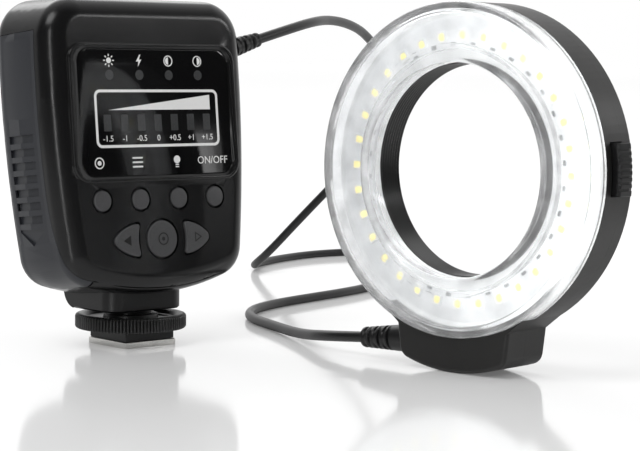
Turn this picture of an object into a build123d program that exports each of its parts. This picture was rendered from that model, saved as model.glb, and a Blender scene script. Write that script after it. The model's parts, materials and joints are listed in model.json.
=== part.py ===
"""Macro ring flash: a control unit on a hot-shoe foot, a ring head for the front of a lens,
and the free cable between them.

Millimetres. The row frame has its origin at the centre of the hot-shoe foot's underside, X along
the unit's width, Y from the display towards the subject, and Z up. The unit leans back and is
drawn in its own leaning coordinates (x, v, w): v runs from the display to the rear and w up the
unit. The ring head stands upright on its base block, and is drawn in its own plane: x to the
right seen from in front, y up, and depth positive towards the subject.
"""

import os
from math import asin, cos, pi, radians, sin, sqrt, tan

from build123d import *

os.makedirs("parts", exist_ok=True)

# Control unit
LEAN = 6.0
LEAN_PIVOT = Vector(0, 2.45, 53.4)
UNIT_WIDTH = 73.2
BOW_LEVEL = 80.0
BOW_RADIUS = 390.0
UNIT_FRONT = -15.65
UNIT_REAR = 14.55
UNIT_TOP = 102.6
TOP_RISE = 2.0
BELLY = 15.0
BELLY_RADIUS = 88.0
BELLY_HALF = 32.2
TOP_CORNER = 12.0
BOTTOM_CORNER = 10.0
FRONT_EDGE = 6.5
REAR_EDGE = 6.0
WALL = 2.0
SEAM = -7.9
SEAM_BEND = 46.0
SEAM_BEND_RADIUS = 63.7
SEAM_FOOT = 20.0

# Display
BEZEL = (61.4, 41.0)
BEZEL_CENTRE = 68.8
BEZEL_PROUD = 1.0
WINDOW = (56.0, 37.4)
WINDOW_THICK = 1.6
LIGHT_X = (-16.4, -5.5, 5.4, 16.4)
LIGHT_LEVEL = 79.8
BAR_COUNT = 7
BAR_PITCH = 6.14
BAR = (2.7, 4.9)
BAR_CENTRE = (0.4, 65.75)

# Buttons
BUTTON_X = (-20.9, -7.1, 7.1, 20.9)
BUTTON_NAMES = ("pilot_button", "mode_button", "light_button", "power_button")
BUTTON_LEVEL = 43.15
BUTTON_RADIUS = 3.05
NAV_LEVEL = 31.2
NAV_CENTRE_RADIUS = 5.5
NAV_INNER = 8.0
NAV_OUTER = 18.2
NAV_HALF = 4.9
BUTTON_PROUD = 0.6
BUTTON_GAP = 0.65
FLANGE = 0.8
FLANGE_LIP = 1.1

# Circuit board
BOARD_FRONT = -8.8
BOARD_THICK = 1.6
BOARD = (56.0, 61.0)
BOARD_CENTRE = 56.8
BOARD_SCREW = (26.0, 27.8)
BOARD_POST = (2.0, 0.7)
SWITCH = (6.0, 2.5)
CASE_BOSS = 2.5

# Battery bay and its door on the left side
DOOR_REAR = 11.05
DOOR_TOP = 93.5
DOOR_DEPTH = 24.0
DOOR_GAP = 0.15
DOOR_END_GAP = 0.5
CREASE = 1.35
CREASE_PROUD = 0.5
CREASE_SUNK = 0.1
GRIP_COUNT = 7
GRIP_TOP = 63.6
GRIP_PITCH = 3.93
GRIP_TALL = 2.3
GRIP_DEEP = 0.8
GRIP_SPAN = (-4.6, 7.7)
ARROW_TOP = 36.1
ARROW_TALL = 4.9
ARROW_DEEP = 0.35
HINGE = (-33.6, 8.6, 57.0)
HINGE_TILT = 3.3
PIN_RADIUS = 0.6
KNUCKLE_RADIUS = 1.2
EAR_LEVELS = (40.7, 55.8, 70.9)
EAR_TALL = 3.0
EAR_WEB = ((0, -0.9), (5.2, -0.9), (5.2, 4.6), (3.6, 4.6), (3.6, 0.9), (0, 0.9))
DOOR_SLIDE = 4.0
LIP_RADIUS = 3.0
LIP_TOP = 86.0
CELL_RADIUS = 7.25
CELL_LENGTH = 49.5
CELL_NUB = (2.75, 1.0)
CELL_V = 2.15
CELL_LEFT = -29.3
CELL_LEVELS = (34.6, 49.7, 64.8, 79.9)
TRAY = (-26.5, 24.6)
TRAY_FLOOR = 1.0
STRIP = 0.4
DOME_RADIUS = 3.4
STUD_RADIUS = 2.0
TRAY_CONTACT_GAP = 0.15
DOOR_CONTACT_GAP = 0.4
CASE_SCREWS = ((-24.0, 93.3), (24.0, 93.3), (-13.5, 23.2), (13.5, 23.2))

# Hot-shoe foot, clamp plate and lock ring
FOOT = (18.6, 20.0, 2.0)
STEM_RADIUS = 6.2
CLAMP = (2.05, 4.95)
RING_BOTTOM = 5.0
RING_TOP = 9.4
LOCK_RADIUS = 16.8
KNURLS = 100
KNURL_CUT = 0.42
NECK_BOTTOM = 10.8
NECK_HALF = 14.0
NECK_FRONT = -9.2
NECK_SEAM = 10.5
CONTACT_Y = 2.2

# Ring head
HEAD_CENTRE = Vector(41.0, -100.25, 56.5)
HEAD_YAW = 83.7
HEAD_RADIUS = 46.5
BORE_RADIUS = 29.6
BARREL_WALL = 1.4
BARREL_SPAN = (-6.5, 1.5)
COVER_OPENING = 34.4
HEAD_BACK = -12.0
HEAD_SEAM = -8.0
DIFFUSER_FRONT = 8.0
DIFFUSER_LIP = 1.6
SHELL = 1.7
FLOOR = 1.5
COVER = 1.4
SCREW_RING = 43.2
SCREW_ANGLES = (35, 145, 215, 325)
LED_RADIUS = 37.2
LED_COUNT = 32
BLOCK_CENTRE = -0.6
BLOCK_HORN = 24.4
BLOCK_SHOULDER = (19.6, -43.4)
BLOCK_SIDE_FOOT = (18.4, -53.0)
BLOCK_FRONT = 5.8
BLOCK_SEAM = -3.0
RELEASE_SPAN = (-5.1, 9.1)
RELEASE_LEVEL = 2.0
RELEASE_OUTER = 49.4
GROOVE_COUNT = 7
GROOVE_PITCH = 1.75
RELEASE_DEPTH = (-7.8, -2.6)
SLIDE_RING = (34.6, 39.2)
CLAW_TIP = 33.4
CLAW_HALF = 4.0
SLIDE_DEPTHS = {-1: -4.4, 1: -6.4}
REFLECTOR = (0.8, 1.2)
LED_BOARD = (33.9, 42.6, 1.0)
LED_CHIP = (3.5, 2.8, 1.0)
RIM_STEP = (43.4, 0.9)
RIM_WALL = 1.8
RIM_FLOOR = 2.5
SLIDE_THICK = 1.1

# Cable: from the unit's boot over the table, round a bend behind the ring, and back to its base
CABLE_RADIUS = 1.6
ROUTE = [
    Vector(*point)
    for point in (
        (52.0, 3.45, 92.6),
        (66.0, 4.45, 96.2),
        (84.0, 11.95, 99.2),
        (101.0, 22.95, 100.2),
        (119.0, 33.45, 99.4),
        (137.0, 44.45, 96.8),
        (154.0, 54.45, 90.5),
        (168.6, 65.65, 83.0),
        (180.1, 76.85, 66.0),
        (181.5, 90.35, 50.0),
        (175.9, 103.55, 36.0),
        (167.6, 113.75, 22.0),
        (162.1, 124.15, 9.5),
        (164.3, 136.95, 2.4),
        (177.1, 149.65, 1.62),
        (198.6, 159.95, 1.62),
        (222.0, 166.45, 1.62),
        (243.0, 165.45, 1.62),
        (257.0, 154.45, 1.62),
        (260.0, 138.45, 1.62),
        (250.0, 123.45, 1.62),
        (234.0, 111.95, 1.62),
        (214.3, 99.85, 1.62),
        (190.6, 79.55, 1.62),
        (165.3, 61.95, 1.62),
        (138.2, 51.45, 1.62),
        (112.3, 45.15, 1.62),
        (90.6, 39.15, 1.62),
        (73.4, 30.45, 1.62),
        (60.6, 16.35, 1.62),
        (53.8, -3.15, 1.62),
        (44.0, -27.55, 2.2),
        (35.4, -50.05, 4.8),
        (37.1, -64.85, 6.0),
    )
]
UNIT_BOOT = (20.5, 3.6, 2.3)
HEAD_BOOT = (18.5, 4.1, 3.0)
BOOT_RIB = 0.45

X_AXIS = Vector(1, 0, 0)
BACKWARD = Vector(0, cos(radians(LEAN)), -sin(radians(LEAN)))
UPWARD = Vector(0, sin(radians(LEAN)), cos(radians(LEAN)))
LEAN_ORIGIN = LEAN_PIVOT - UPWARD * LEAN_PIVOT.Z
FRONTWARD = Vector(-sin(radians(HEAD_YAW)), -cos(radians(HEAD_YAW)), 0)
HEAD_RIGHT = Vector(cos(radians(HEAD_YAW)), -sin(radians(HEAD_YAW)), 0)


def unit_point(x, v, w):
    """A point of the leaning unit."""
    return LEAN_ORIGIN + X_AXIS * x + BACKWARD * v + UPWARD * w


def face_plane(v):
    """Plane across the unit at depth v: sketch x is x, sketch y is w, normal to the display side."""
    return Plane(origin=unit_point(0, v, 0), x_dir=X_AXIS, z_dir=-BACKWARD)


def side_plane(x):
    """Plane along the unit's side at x: sketch x is v, sketch y is w, normal to the right."""
    return Plane(origin=unit_point(x, 0, 0), x_dir=BACKWARD, z_dir=X_AXIS)


def level_plane(w):
    """Plane square to the unit's height at w: sketch x is x, sketch y is v, normal up."""
    return Plane(origin=unit_point(0, 0, w), x_dir=X_AXIS, z_dir=UPWARD)


def head_plane(depth):
    """Plane of the ring head, moved towards its front by depth."""
    return Plane(origin=HEAD_CENTRE + FRONTWARD * depth, x_dir=HEAD_RIGHT, z_dir=FRONTWARD)


def hinge_plane(level):
    """Plane square to the door's tilted hinge line: sketch x runs inwards, sketch y to the rear."""
    tilt = radians(HINGE_TILT)
    line = UPWARD * cos(tilt) - X_AXIS * sin(tilt)
    origin = unit_point(*HINGE) + line * (level - HINGE[2])
    return Plane(origin=origin, x_dir=X_AXIS * cos(tilt) + UPWARD * sin(tilt), z_dir=line)


UNIT_DEPTH_AXIS = Axis(unit_point(0, 0, 0), BACKWARD)
UNIT_HEIGHT_AXIS = Axis(unit_point(0, 0, 0), UPWARD)
HEAD_DEPTH_AXIS = Axis(HEAD_CENTRE, FRONTWARD)


def side_half(level):
    """Half of the unit's width at a level: its sides are arcs, furthest apart at BOW_LEVEL."""
    return UNIT_WIDTH / 2 - BOW_RADIUS + sqrt(BOW_RADIUS**2 - (level - BOW_LEVEL) ** 2)


def bow_plane(level, depth):
    """Plane along the bowed left side at a level, moved inwards by depth: sketch x is v."""
    drop = asin((BOW_LEVEL - level) / BOW_RADIUS)
    inwards = X_AXIS * cos(drop) + UPWARD * sin(drop)
    touch = unit_point(-side_half(level), 0, level)
    return Plane(origin=touch + inwards * depth, x_dir=BACKWARD, z_dir=inwards)


def unit_outline(grow, top):
    """The unit seen from its display side, every side moved out by grow, with sharp top corners."""
    belly_radius = BELLY_RADIUS + grow
    foot = BELLY - grow
    foot_half = BELLY_HALF + grow
    side_foot = foot + belly_radius - sqrt(belly_radius**2 - foot_half**2)
    half = UNIT_WIDTH / 2 + grow
    top_half = side_half(top) + grow
    with BuildSketch() as outline:
        with BuildLine():
            ThreePointArc((-foot_half, side_foot), (0, foot), (foot_half, side_foot))
            ThreePointArc((foot_half, side_foot), (half, BOW_LEVEL), (top_half, top))
            Line((top_half, top), (-top_half, top))
            ThreePointArc((-top_half, top), (-half, BOW_LEVEL), (-foot_half, side_foot))
        make_face()
        fillet(vertices().group_by(Axis.Y)[0], BOTTOM_CORNER + grow)
    return outline.sketch


def unit_form(inset):
    """The unit's outer form with every side moved in by inset."""
    front_top = UNIT_TOP - inset
    rear_top = front_top + TOP_RISE
    with BuildPart() as form:
        with BuildSketch(face_plane(UNIT_FRONT + inset)):
            add(unit_outline(-inset, rear_top))
        extrude(amount=-(UNIT_REAR - UNIT_FRONT - 2 * inset))
        with BuildSketch(side_plane(0)):
            with BuildLine():
                Polyline(
                    (UNIT_FRONT - 1, front_top), (UNIT_FRONT, front_top), (UNIT_REAR, rear_top),
                    (UNIT_REAR + 1, rear_top + 5), (UNIT_FRONT - 1, rear_top + 5), close=True,
                )
            make_face()
        extrude(amount=60, both=True, mode=Mode.SUBTRACT)
        top_edges = faces().sort_by(UNIT_HEIGHT_AXIS)[-1].edges().sort_by(Axis.X)
        fillet([top_edges[0], top_edges[-1]], TOP_CORNER - inset)
        fillet(faces().sort_by(UNIT_DEPTH_AXIS)[0].edges(), FRONT_EDGE - inset)
        fillet(faces().sort_by(UNIT_DEPTH_AXIS)[-1].edges(), REAR_EDGE - inset)
    return form.part


def front_zone():
    """Everything in front of the seam, which bends towards the display near the foot."""
    bend_foot = SEAM - SEAM_BEND_RADIUS + sqrt(SEAM_BEND_RADIUS**2 - (SEAM_BEND - SEAM_FOOT) ** 2)
    with BuildPart() as zone:
        with BuildSketch(side_plane(0)):
            with BuildLine():
                Line((-40, 120), (SEAM, 120))
                Line((SEAM, 120), (SEAM, SEAM_BEND))
                TangentArc((SEAM, SEAM_BEND), (bend_foot, SEAM_FOOT), tangent=(0, -1))
                Polyline((bend_foot, SEAM_FOOT), (bend_foot, 0), (-40, 0), (-40, 120))
            make_face()
        extrude(amount=60, both=True)
    return zone.part


def door_zone(gap, end_gap):
    """The wall region of the battery door, with gap taken off all round and end_gap off its depth."""
    with BuildPart() as zone:
        with BuildSketch(side_plane(-60)):
            with Locations(((SEAM - 12 + DOOR_REAR) / 2 - gap / 2, DOOR_TOP / 2 - gap / 2)):
                Rectangle(DOOR_REAR - SEAM + 12 - gap, DOOR_TOP - gap)
        extrude(amount=60 - DOOR_DEPTH - end_gap)
    return zone.part


def crease_height(v):
    """How far the door's crease stands out of the side at depth v."""
    rear = UNIT_REAR - REAR_EDGE
    start = SEAM + DOOR_GAP
    return (CREASE_PROUD + CREASE_SUNK) * min((v - start) / (CREASE - start), (rear - v) / (rear - CREASE))


def crease_form():
    """The unit's outline swollen along the door's crease, from the seam to the rear edge."""
    with BuildPart() as form:
        for v in (SEAM + DOOR_GAP, CREASE, UNIT_REAR - REAR_EDGE):
            with BuildSketch(face_plane(v)):
                add(unit_outline(crease_height(v) - CREASE_SUNK, UNIT_TOP))
                fillet(vertices().group_by(Axis.Y)[-1], TOP_CORNER)
        loft(ruled=True)
    return form.part


OUTER = unit_form(0)
INNER = unit_form(WALL)
CASE_WALL = OUTER - INNER
FRONT_ZONE = front_zone()
DOOR_HOLE = door_zone(0, 0)


def nav_outline(side, grow):
    """The pointed side button: a hollow inner side round the centre button and two bowed flanks."""
    inner = NAV_INNER - grow
    outer = NAV_OUTER + grow
    half = NAV_HALF + grow
    top = (side * inner, half)
    bottom = (side * inner, -half)
    tip = (side * outer, 0)
    with BuildSketch() as outline:
        with BuildLine():
            ThreePointArc(top, (side * (inner + 0.9), 0), bottom)
            ThreePointArc(bottom, (side * (inner + 0.62 * (outer - inner)), -0.66 * half), tip)
            ThreePointArc(tip, (side * (inner + 0.62 * (outer - inner)), 0.66 * half), top)
        make_face()
        fillet(vertices().group_by(Axis.X)[0 if side > 0 else -1], 0.9 + grow / 2)
        fillet(vertices().group_by(Axis.X)[-1 if side > 0 else 0], 2.0 + grow / 2)
    return outline.sketch


def round_outline(radius):
    """A round button's outline."""
    with BuildSketch() as outline:
        Circle(radius)
    return outline.sketch


BUTTONS = [
    (name, (x, BUTTON_LEVEL), lambda grow: round_outline(BUTTON_RADIUS + grow))
    for name, x in zip(BUTTON_NAMES, BUTTON_X)
]
BUTTONS += [
    ("left_button", (0, NAV_LEVEL), lambda grow: nav_outline(-1, grow)),
    ("centre_button", (0, NAV_LEVEL), lambda grow: round_outline(NAV_CENTRE_RADIUS + grow)),
    ("right_button", (0, NAV_LEVEL), lambda grow: nav_outline(1, grow)),
]
SWITCH_X = BUTTON_X + (-12.6, 0.0, 12.6)
SWITCH_LEVELS = (BUTTON_LEVEL,) * 4 + (NAV_LEVEL,) * 3
INNER_FRONT = UNIT_FRONT + WALL
POCKET_FLOOR = UNIT_FRONT - BEZEL_PROUD + 2.0
BAR_PLACES = [(BAR_CENTRE[0] + BAR_PITCH * (i - 3), BAR_CENTRE[1]) for i in range(BAR_COUNT)]
LIGHT_PLACES = [(x, LIGHT_LEVEL) for x in LIGHT_X]
BOARD_PLACES = [
    (sx * BOARD_SCREW[0], BOARD_CENTRE + sw * BOARD_SCREW[1]) for sx in (-1, 1) for sw in (-1, 1)
]

# Front shell: seamed casing half with the raised bezel, window pocket, button holes and bosses
with BuildPart() as front_shell:
    add(CASE_WALL)
    add(FRONT_ZONE, mode=Mode.INTERSECT)
    with BuildSketch(face_plane(UNIT_FRONT + 0.8)):
        with Locations((0, BEZEL_CENTRE)):
            RectangleRounded(BEZEL[0], BEZEL[1], 5.5)
    extrude(amount=BEZEL_PROUD + 0.8)
    fillet(faces().sort_by(UNIT_DEPTH_AXIS)[0].edges(), 0.6)
    with BuildSketch(face_plane(UNIT_FRONT - BEZEL_PROUD)):
        with Locations((0, BEZEL_CENTRE)):
            RectangleRounded(WINDOW[0] + 0.2, WINDOW[1] + 0.2, 4.2)
    extrude(amount=-2.0, mode=Mode.SUBTRACT)
    with BuildSketch(face_plane(POCKET_FLOOR - 1)):
        with Locations(*LIGHT_PLACES):
            Circle(1.6)
        with Locations(*BAR_PLACES):
            Rectangle(BAR[0] + 0.3, BAR[1] + 0.3)
    extrude(amount=-4, mode=Mode.SUBTRACT)
    for _, place, outline in BUTTONS:
        with BuildSketch(face_plane(UNIT_FRONT - 1)):
            with Locations(place):
                add(outline(BUTTON_GAP))
        extrude(amount=-4, mode=Mode.SUBTRACT)
    with BuildSketch(face_plane(BOARD_FRONT)):
        with Locations(*BOARD_PLACES):
            Circle(BOARD_POST[0])
            Circle(BOARD_POST[1], mode=Mode.SUBTRACT)
    extrude(until=Until.NEXT)
    with BuildSketch(face_plane(-3.0)):
        with Locations(*CASE_SCREWS):
            Circle(CASE_BOSS)
            Circle(0.8, mode=Mode.SUBTRACT)
    extrude(until=Until.NEXT)

# Buttons: domed stem through the shell and a flange that keeps them in
for button_name, place, outline in BUTTONS:
    with BuildPart() as button:
        with BuildSketch(face_plane(INNER_FRONT + 0.9)):
            with Locations(place):
                add(outline(0))
        extrude(amount=INNER_FRONT + 0.9 - UNIT_FRONT + BUTTON_PROUD)
        fillet(faces().sort_by(UNIT_DEPTH_AXIS)[0].edges(), 0.45)
        with BuildSketch(face_plane(INNER_FRONT + 0.9)):
            with Locations(place):
                add(outline(FLANGE_LIP))
        extrude(amount=FLANGE)
    button.part.label = button_name
    export_step(button.part, f"parts/{button_name}.step")

# Rear shell: the casing behind the seam, open on the left for the battery door
with BuildPart() as rear_shell:
    add(CASE_WALL)
    add(FRONT_ZONE, mode=Mode.SUBTRACT)
    add(DOOR_HOLE, mode=Mode.SUBTRACT)
    with BuildSketch(hinge_plane(0)):
        Circle(LIP_RADIUS)
    extrude(amount=LIP_TOP, mode=Mode.SUBTRACT)
    for level in EAR_LEVELS:
        with BuildSketch(hinge_plane(level)):
            Circle(KNUCKLE_RADIUS)
            with BuildLine():
                Polyline(*EAR_WEB, close=True)
            make_face()
            Circle(PIN_RADIUS + 0.05, mode=Mode.SUBTRACT)
        extrude(amount=EAR_TALL)
    with BuildSketch(face_plane(-3.0)):
        with Locations(*CASE_SCREWS):
            Circle(CASE_BOSS)
    extrude(until=Until.NEXT, dir=BACKWARD)
    with BuildSketch(face_plane(UNIT_REAR + 1)):
        with Locations(*CASE_SCREWS):
            Circle(1.15)
    extrude(amount=30, mode=Mode.SUBTRACT)
    with BuildSketch(face_plane(UNIT_REAR + 1)):
        with Locations(*CASE_SCREWS):
            Circle(2.1)
    extrude(amount=3.2, mode=Mode.SUBTRACT)

# Case screws
with BuildPart() as case_screws:
    with BuildSketch(face_plane(UNIT_REAR - 2.2)):
        with Locations(*CASE_SCREWS):
            Circle(0.8)
    extrude(amount=UNIT_REAR - 2.2 + 9.0)
    with BuildSketch(face_plane(UNIT_REAR - 0.9)):
        with Locations(*CASE_SCREWS):
            Circle(1.9)
    extrude(amount=1.3)
    with BuildSketch(face_plane(UNIT_REAR - 0.9)):
        with Locations(*CASE_SCREWS):
            Rectangle(2.2, 0.5)
            Rectangle(0.5, 2.2)
    extrude(amount=0.7, mode=Mode.SUBTRACT)

# Battery door: bowed side wall with a shallow crease, grip recesses and hinge knuckles
with BuildPart() as battery_door:
    add(OUTER)
    add(crease_form())
    add(INNER, mode=Mode.SUBTRACT)
    add(door_zone(DOOR_GAP, DOOR_END_GAP), mode=Mode.INTERSECT)
    add(FRONT_ZONE.moved(Location(BACKWARD * DOOR_GAP)), mode=Mode.SUBTRACT)
    for i in range(GRIP_COUNT):
        level = GRIP_TOP - GRIP_PITCH * i
        side = -side_half(level - GRIP_TALL / 2)
        floor = [
            (side + GRIP_DEEP - crease_height(v), v) for v in (GRIP_SPAN[0], CREASE, GRIP_SPAN[1])
        ]
        with BuildSketch(level_plane(level)):
            with BuildLine():
                Polyline(*floor, (-40, GRIP_SPAN[1]), (-40, GRIP_SPAN[0]), close=True)
            make_face()
        extrude(amount=-GRIP_TALL, mode=Mode.SUBTRACT)
    with BuildSketch(bow_plane(ARROW_TOP - ARROW_TALL / 2, ARROW_DEEP)):
        with BuildLine():
            Polyline(
                (GRIP_SPAN[0], ARROW_TALL / 2),
                (GRIP_SPAN[1], ARROW_TALL / 2),
                (GRIP_SPAN[1], ARROW_TALL / 2 - 0.8),
                (CREASE, -ARROW_TALL / 2),
                (GRIP_SPAN[0], ARROW_TALL / 2 - 0.8),
                close=True,
            )
        make_face()
    extrude(amount=-3, mode=Mode.SUBTRACT)
    with BuildSketch(hinge_plane(EAR_LEVELS[0])):
        Circle(KNUCKLE_RADIUS)
    extrude(amount=EAR_LEVELS[-1] + EAR_TALL - EAR_LEVELS[0])
    with BuildSketch(hinge_plane(EAR_LEVELS[0] - 2)):
        Circle(PIN_RADIUS + 0.05)
    extrude(amount=EAR_LEVELS[-1] - EAR_LEVELS[0] + 12, mode=Mode.SUBTRACT)
    for level in EAR_LEVELS:
        with BuildSketch(hinge_plane(level - 0.2)):
            with Locations((1.5, 1.0)):
                Rectangle(6.0, 4.9)
        extrude(amount=EAR_TALL + DOOR_SLIDE + 0.4, mode=Mode.SUBTRACT)
battery_door.part.label = "battery_door"
export_step(battery_door.part, "parts/battery_door.step")
front_shell.part.label = "front_shell"
export_step(front_shell.part, "parts/front_shell.step")
rear_shell.part.label = "rear_shell"
export_step(rear_shell.part, "parts/rear_shell.step")
case_screws.part.label = "case_screws"
export_step(case_screws.part, "parts/case_screws.step")

# Hinge pin: the door's knuckles turn on it and carry it down between the shell's ears
with BuildPart() as door_hinge_pin:
    with BuildSketch(hinge_plane(EAR_LEVELS[0] - 1.5)):
        Circle(PIN_RADIUS)
    extrude(amount=EAR_LEVELS[-1] - EAR_LEVELS[0] + 9)
door_hinge_pin.part.label = "door_hinge_pin"
export_step(door_hinge_pin.part, "parts/door_hinge_pin.step")

# Display window: glossy panel seated in the bezel's pocket
with BuildPart() as display_window:
    with BuildSketch(face_plane(POCKET_FLOOR)):
        with Locations((0, BEZEL_CENTRE)):
            RectangleRounded(WINDOW[0], WINDOW[1], 4.1)
    extrude(amount=WINDOW_THICK)
    chamfer(faces().sort_by(UNIT_DEPTH_AXIS)[0].edges(), 0.25)
display_window.part.label = "display_window"
export_step(display_window.part, "parts/display_window.step")

# Status lights behind the window, standing on the circuit board
with BuildPart() as status_lights:
    with BuildSketch(face_plane(BOARD_FRONT)):
        with Locations(*LIGHT_PLACES):
            Circle(1.45)
    extrude(amount=BOARD_FRONT - POCKET_FLOOR)
status_lights.part.label = "status_lights"
export_step(status_lights.part, "parts/status_lights.step")

# Level bars: seven flat light guides behind the window
with BuildPart() as level_bars:
    with BuildSketch(face_plane(BOARD_FRONT)):
        with Locations(*BAR_PLACES):
            Rectangle(*BAR)
    extrude(amount=BOARD_FRONT - POCKET_FLOOR)
level_bars.part.label = "level_bars"
export_step(level_bars.part, "parts/level_bars.step")

# Circuit board on the front shell's four posts
with BuildPart() as circuit_board:
    with BuildSketch(face_plane(BOARD_FRONT + BOARD_THICK)):
        with Locations((0, BOARD_CENTRE)):
            RectangleRounded(BOARD[0], BOARD[1], 2.0)
        with Locations(*BOARD_PLACES):
            Circle(1.1, mode=Mode.SUBTRACT)
    extrude(amount=BOARD_THICK)
circuit_board.part.label = "circuit_board"
export_step(circuit_board.part, "parts/circuit_board.step")

# Board screws: pan heads at the rear of the board
with BuildPart() as board_screws:
    with BuildSketch(face_plane(BOARD_FRONT + BOARD_THICK)):
        with Locations(*BOARD_PLACES):
            Circle(0.7)
    extrude(amount=BOARD_THICK + 4.0)
    with BuildSketch(face_plane(BOARD_FRONT + BOARD_THICK + 0.8)):
        with Locations(*BOARD_PLACES):
            Circle(1.6)
    extrude(amount=0.8)
board_screws.part.label = "board_screws"
export_step(board_screws.part, "parts/board_screws.step")

# Tact switches under the seven buttons
with BuildPart() as tact_switches:
    with BuildSketch(face_plane(BOARD_FRONT)):
        with Locations(*zip(SWITCH_X, SWITCH_LEVELS)):
            Rectangle(SWITCH[0], SWITCH[0])
    extrude(amount=SWITCH[1])
    with BuildSketch(face_plane(BOARD_FRONT - SWITCH[1])):
        with Locations(*zip(SWITCH_X, SWITCH_LEVELS)):
            Circle(1.6)
    extrude(amount=0.5)
tact_switches.part.label = "tact_switches"
export_step(tact_switches.part, "parts/tact_switches.step")

# Controller chip and boost inductor on the board, storage capacitor beside the cells
with BuildPart() as controller_chip:
    with BuildSketch(face_plane(BOARD_FRONT)):
        with Locations((-4, 54.5)):
            Rectangle(9, 9)
    extrude(amount=1.4)
controller_chip.part.label = "controller_chip"
export_step(controller_chip.part, "parts/controller_chip.step")
with BuildPart() as boost_inductor:
    with BuildSketch(face_plane(BOARD_FRONT)):
        with Locations((14, 54.5)):
            RectangleRounded(8, 8, 1.5)
    extrude(amount=3.4)
boost_inductor.part.label = "boost_inductor"
export_step(boost_inductor.part, "parts/boost_inductor.step")
with BuildPart() as storage_capacitor:
    with BuildSketch(level_plane(42)):
        with Locations((28.4, 2.0)):
            Circle(3.6)
    extrude(amount=28)
    chamfer(edges().filter_by(GeomType.CIRCLE), 0.4)
storage_capacitor.part.label = "storage_capacitor"
export_step(storage_capacitor.part, "parts/storage_capacitor.step")

def strip_outline(grow):
    """The two contact strips seen from the side, each over a pair of cells."""
    with BuildSketch() as outline:
        for low in (0, 2):
            with Locations((CELL_V, (CELL_LEVELS[low] + CELL_LEVELS[low + 1]) / 2)):
                RectangleRounded(9.0 + 2 * grow, CELL_LEVELS[1] - CELL_LEVELS[0] + 9.0 + 2 * grow, 2.0)
    return outline.sketch


# Battery tray: four bores side by side, open towards the door
with BuildPart() as battery_tray:
    with BuildSketch(side_plane(TRAY[0])):
        with Locations((CELL_V, (CELL_LEVELS[0] + CELL_LEVELS[-1]) / 2)):
            RectangleRounded(2 * CELL_RADIUS + 1.8, CELL_LEVELS[-1] - CELL_LEVELS[0] + 16.3, 4)
    extrude(amount=TRAY[1] - TRAY[0])
    with BuildSketch(side_plane(TRAY[0])):
        with Locations(*[(CELL_V, level) for level in CELL_LEVELS]):
            Circle(CELL_RADIUS + 0.2)
    extrude(amount=TRAY[1] - TRAY[0] - TRAY_FLOOR, mode=Mode.SUBTRACT)
    with BuildSketch(side_plane(TRAY[1] - TRAY_FLOOR)):
        add(strip_outline(0.1))
    extrude(amount=-2 * STRIP, mode=Mode.SUBTRACT)
battery_tray.part.label = "battery_tray"
export_step(battery_tray.part, "parts/battery_tray.step")

# AA cells, laid alternately
for i, level in enumerate(CELL_LEVELS):
    nub_side = -1 if i % 2 == 0 else 1
    with BuildPart() as cell:
        with BuildSketch(side_plane(CELL_LEFT)):
            with Locations((CELL_V, level)):
                Circle(CELL_RADIUS)
        extrude(amount=CELL_LENGTH)
        fillet(edges().filter_by(GeomType.CIRCLE), 0.5)
        with BuildSketch(side_plane(CELL_LEFT if nub_side < 0 else CELL_LEFT + CELL_LENGTH)):
            with Locations((CELL_V, level)):
                Circle(CELL_NUB[0])
        extrude(amount=nub_side * CELL_NUB[1])
    cell.part.label = f"aa_cell_{i + 1}"
    export_step(cell.part, f"parts/aa_cell_{i + 1}.step")

# Contacts at the tray's closed end: two flat strips with a dome for each cell
STRIP_FACE = TRAY[1] - TRAY_FLOOR
CELL_RIGHT = CELL_LEFT + CELL_LENGTH + CELL_NUB[1] + TRAY_CONTACT_GAP
with BuildPart() as tray_contacts:
    with BuildSketch(side_plane(STRIP_FACE)):
        add(strip_outline(0))
    extrude(amount=-STRIP)
    with BuildSketch(side_plane(STRIP_FACE - STRIP)):
        with Locations(*[(CELL_V, level) for level in CELL_LEVELS]):
            Circle(DOME_RADIUS)
    extrude(amount=CELL_RIGHT - STRIP_FACE + STRIP, taper=30)
tray_contacts.part.label = "tray_contacts"
export_step(tray_contacts.part, "parts/tray_contacts.step")

# Contacts on the door: strips that follow its bowed inner face, with a stud for each cell
STUD_TIP = CELL_LEFT - CELL_NUB[1] - DOOR_CONTACT_GAP
with BuildPart() as door_contacts:
    add(INNER)
    add(unit_form(WALL + STRIP), mode=Mode.SUBTRACT)
    with BuildSketch(side_plane(-60)):
        add(strip_outline(0))
    extrude(amount=60 + STUD_TIP, mode=Mode.INTERSECT)
    for level in CELL_LEVELS:
        with BuildSketch(side_plane(STUD_TIP)):
            with Locations((CELL_V, level)):
                Circle(STUD_RADIUS)
        extrude(amount=-(side_half(level) - WALL - 0.6 * STRIP + STUD_TIP))
door_contacts.part.label = "door_contacts"
export_step(door_contacts.part, "parts/door_contacts.step")

# Neck block: bridges the leaning body and the level foot, cut to the body's belly
with BuildPart() as neck_block:
    with BuildSketch(Plane.XY.offset(NECK_BOTTOM)):
        with Locations((0, (NECK_FRONT + NECK_SEAM) / 2)):
            Rectangle(2 * NECK_HALF, NECK_SEAM - NECK_FRONT)
        fillet(vertices().group_by(Axis.Y)[0], 5.0)
    extrude(amount=9)
    chamfer(faces().sort_by(Axis.Z)[0].edges().filter_by(Plane.XY), 0.5)
    add(OUTER, mode=Mode.SUBTRACT)
neck_block.part.label = "neck_block"
export_step(neck_block.part, "parts/neck_block.step")

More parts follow.
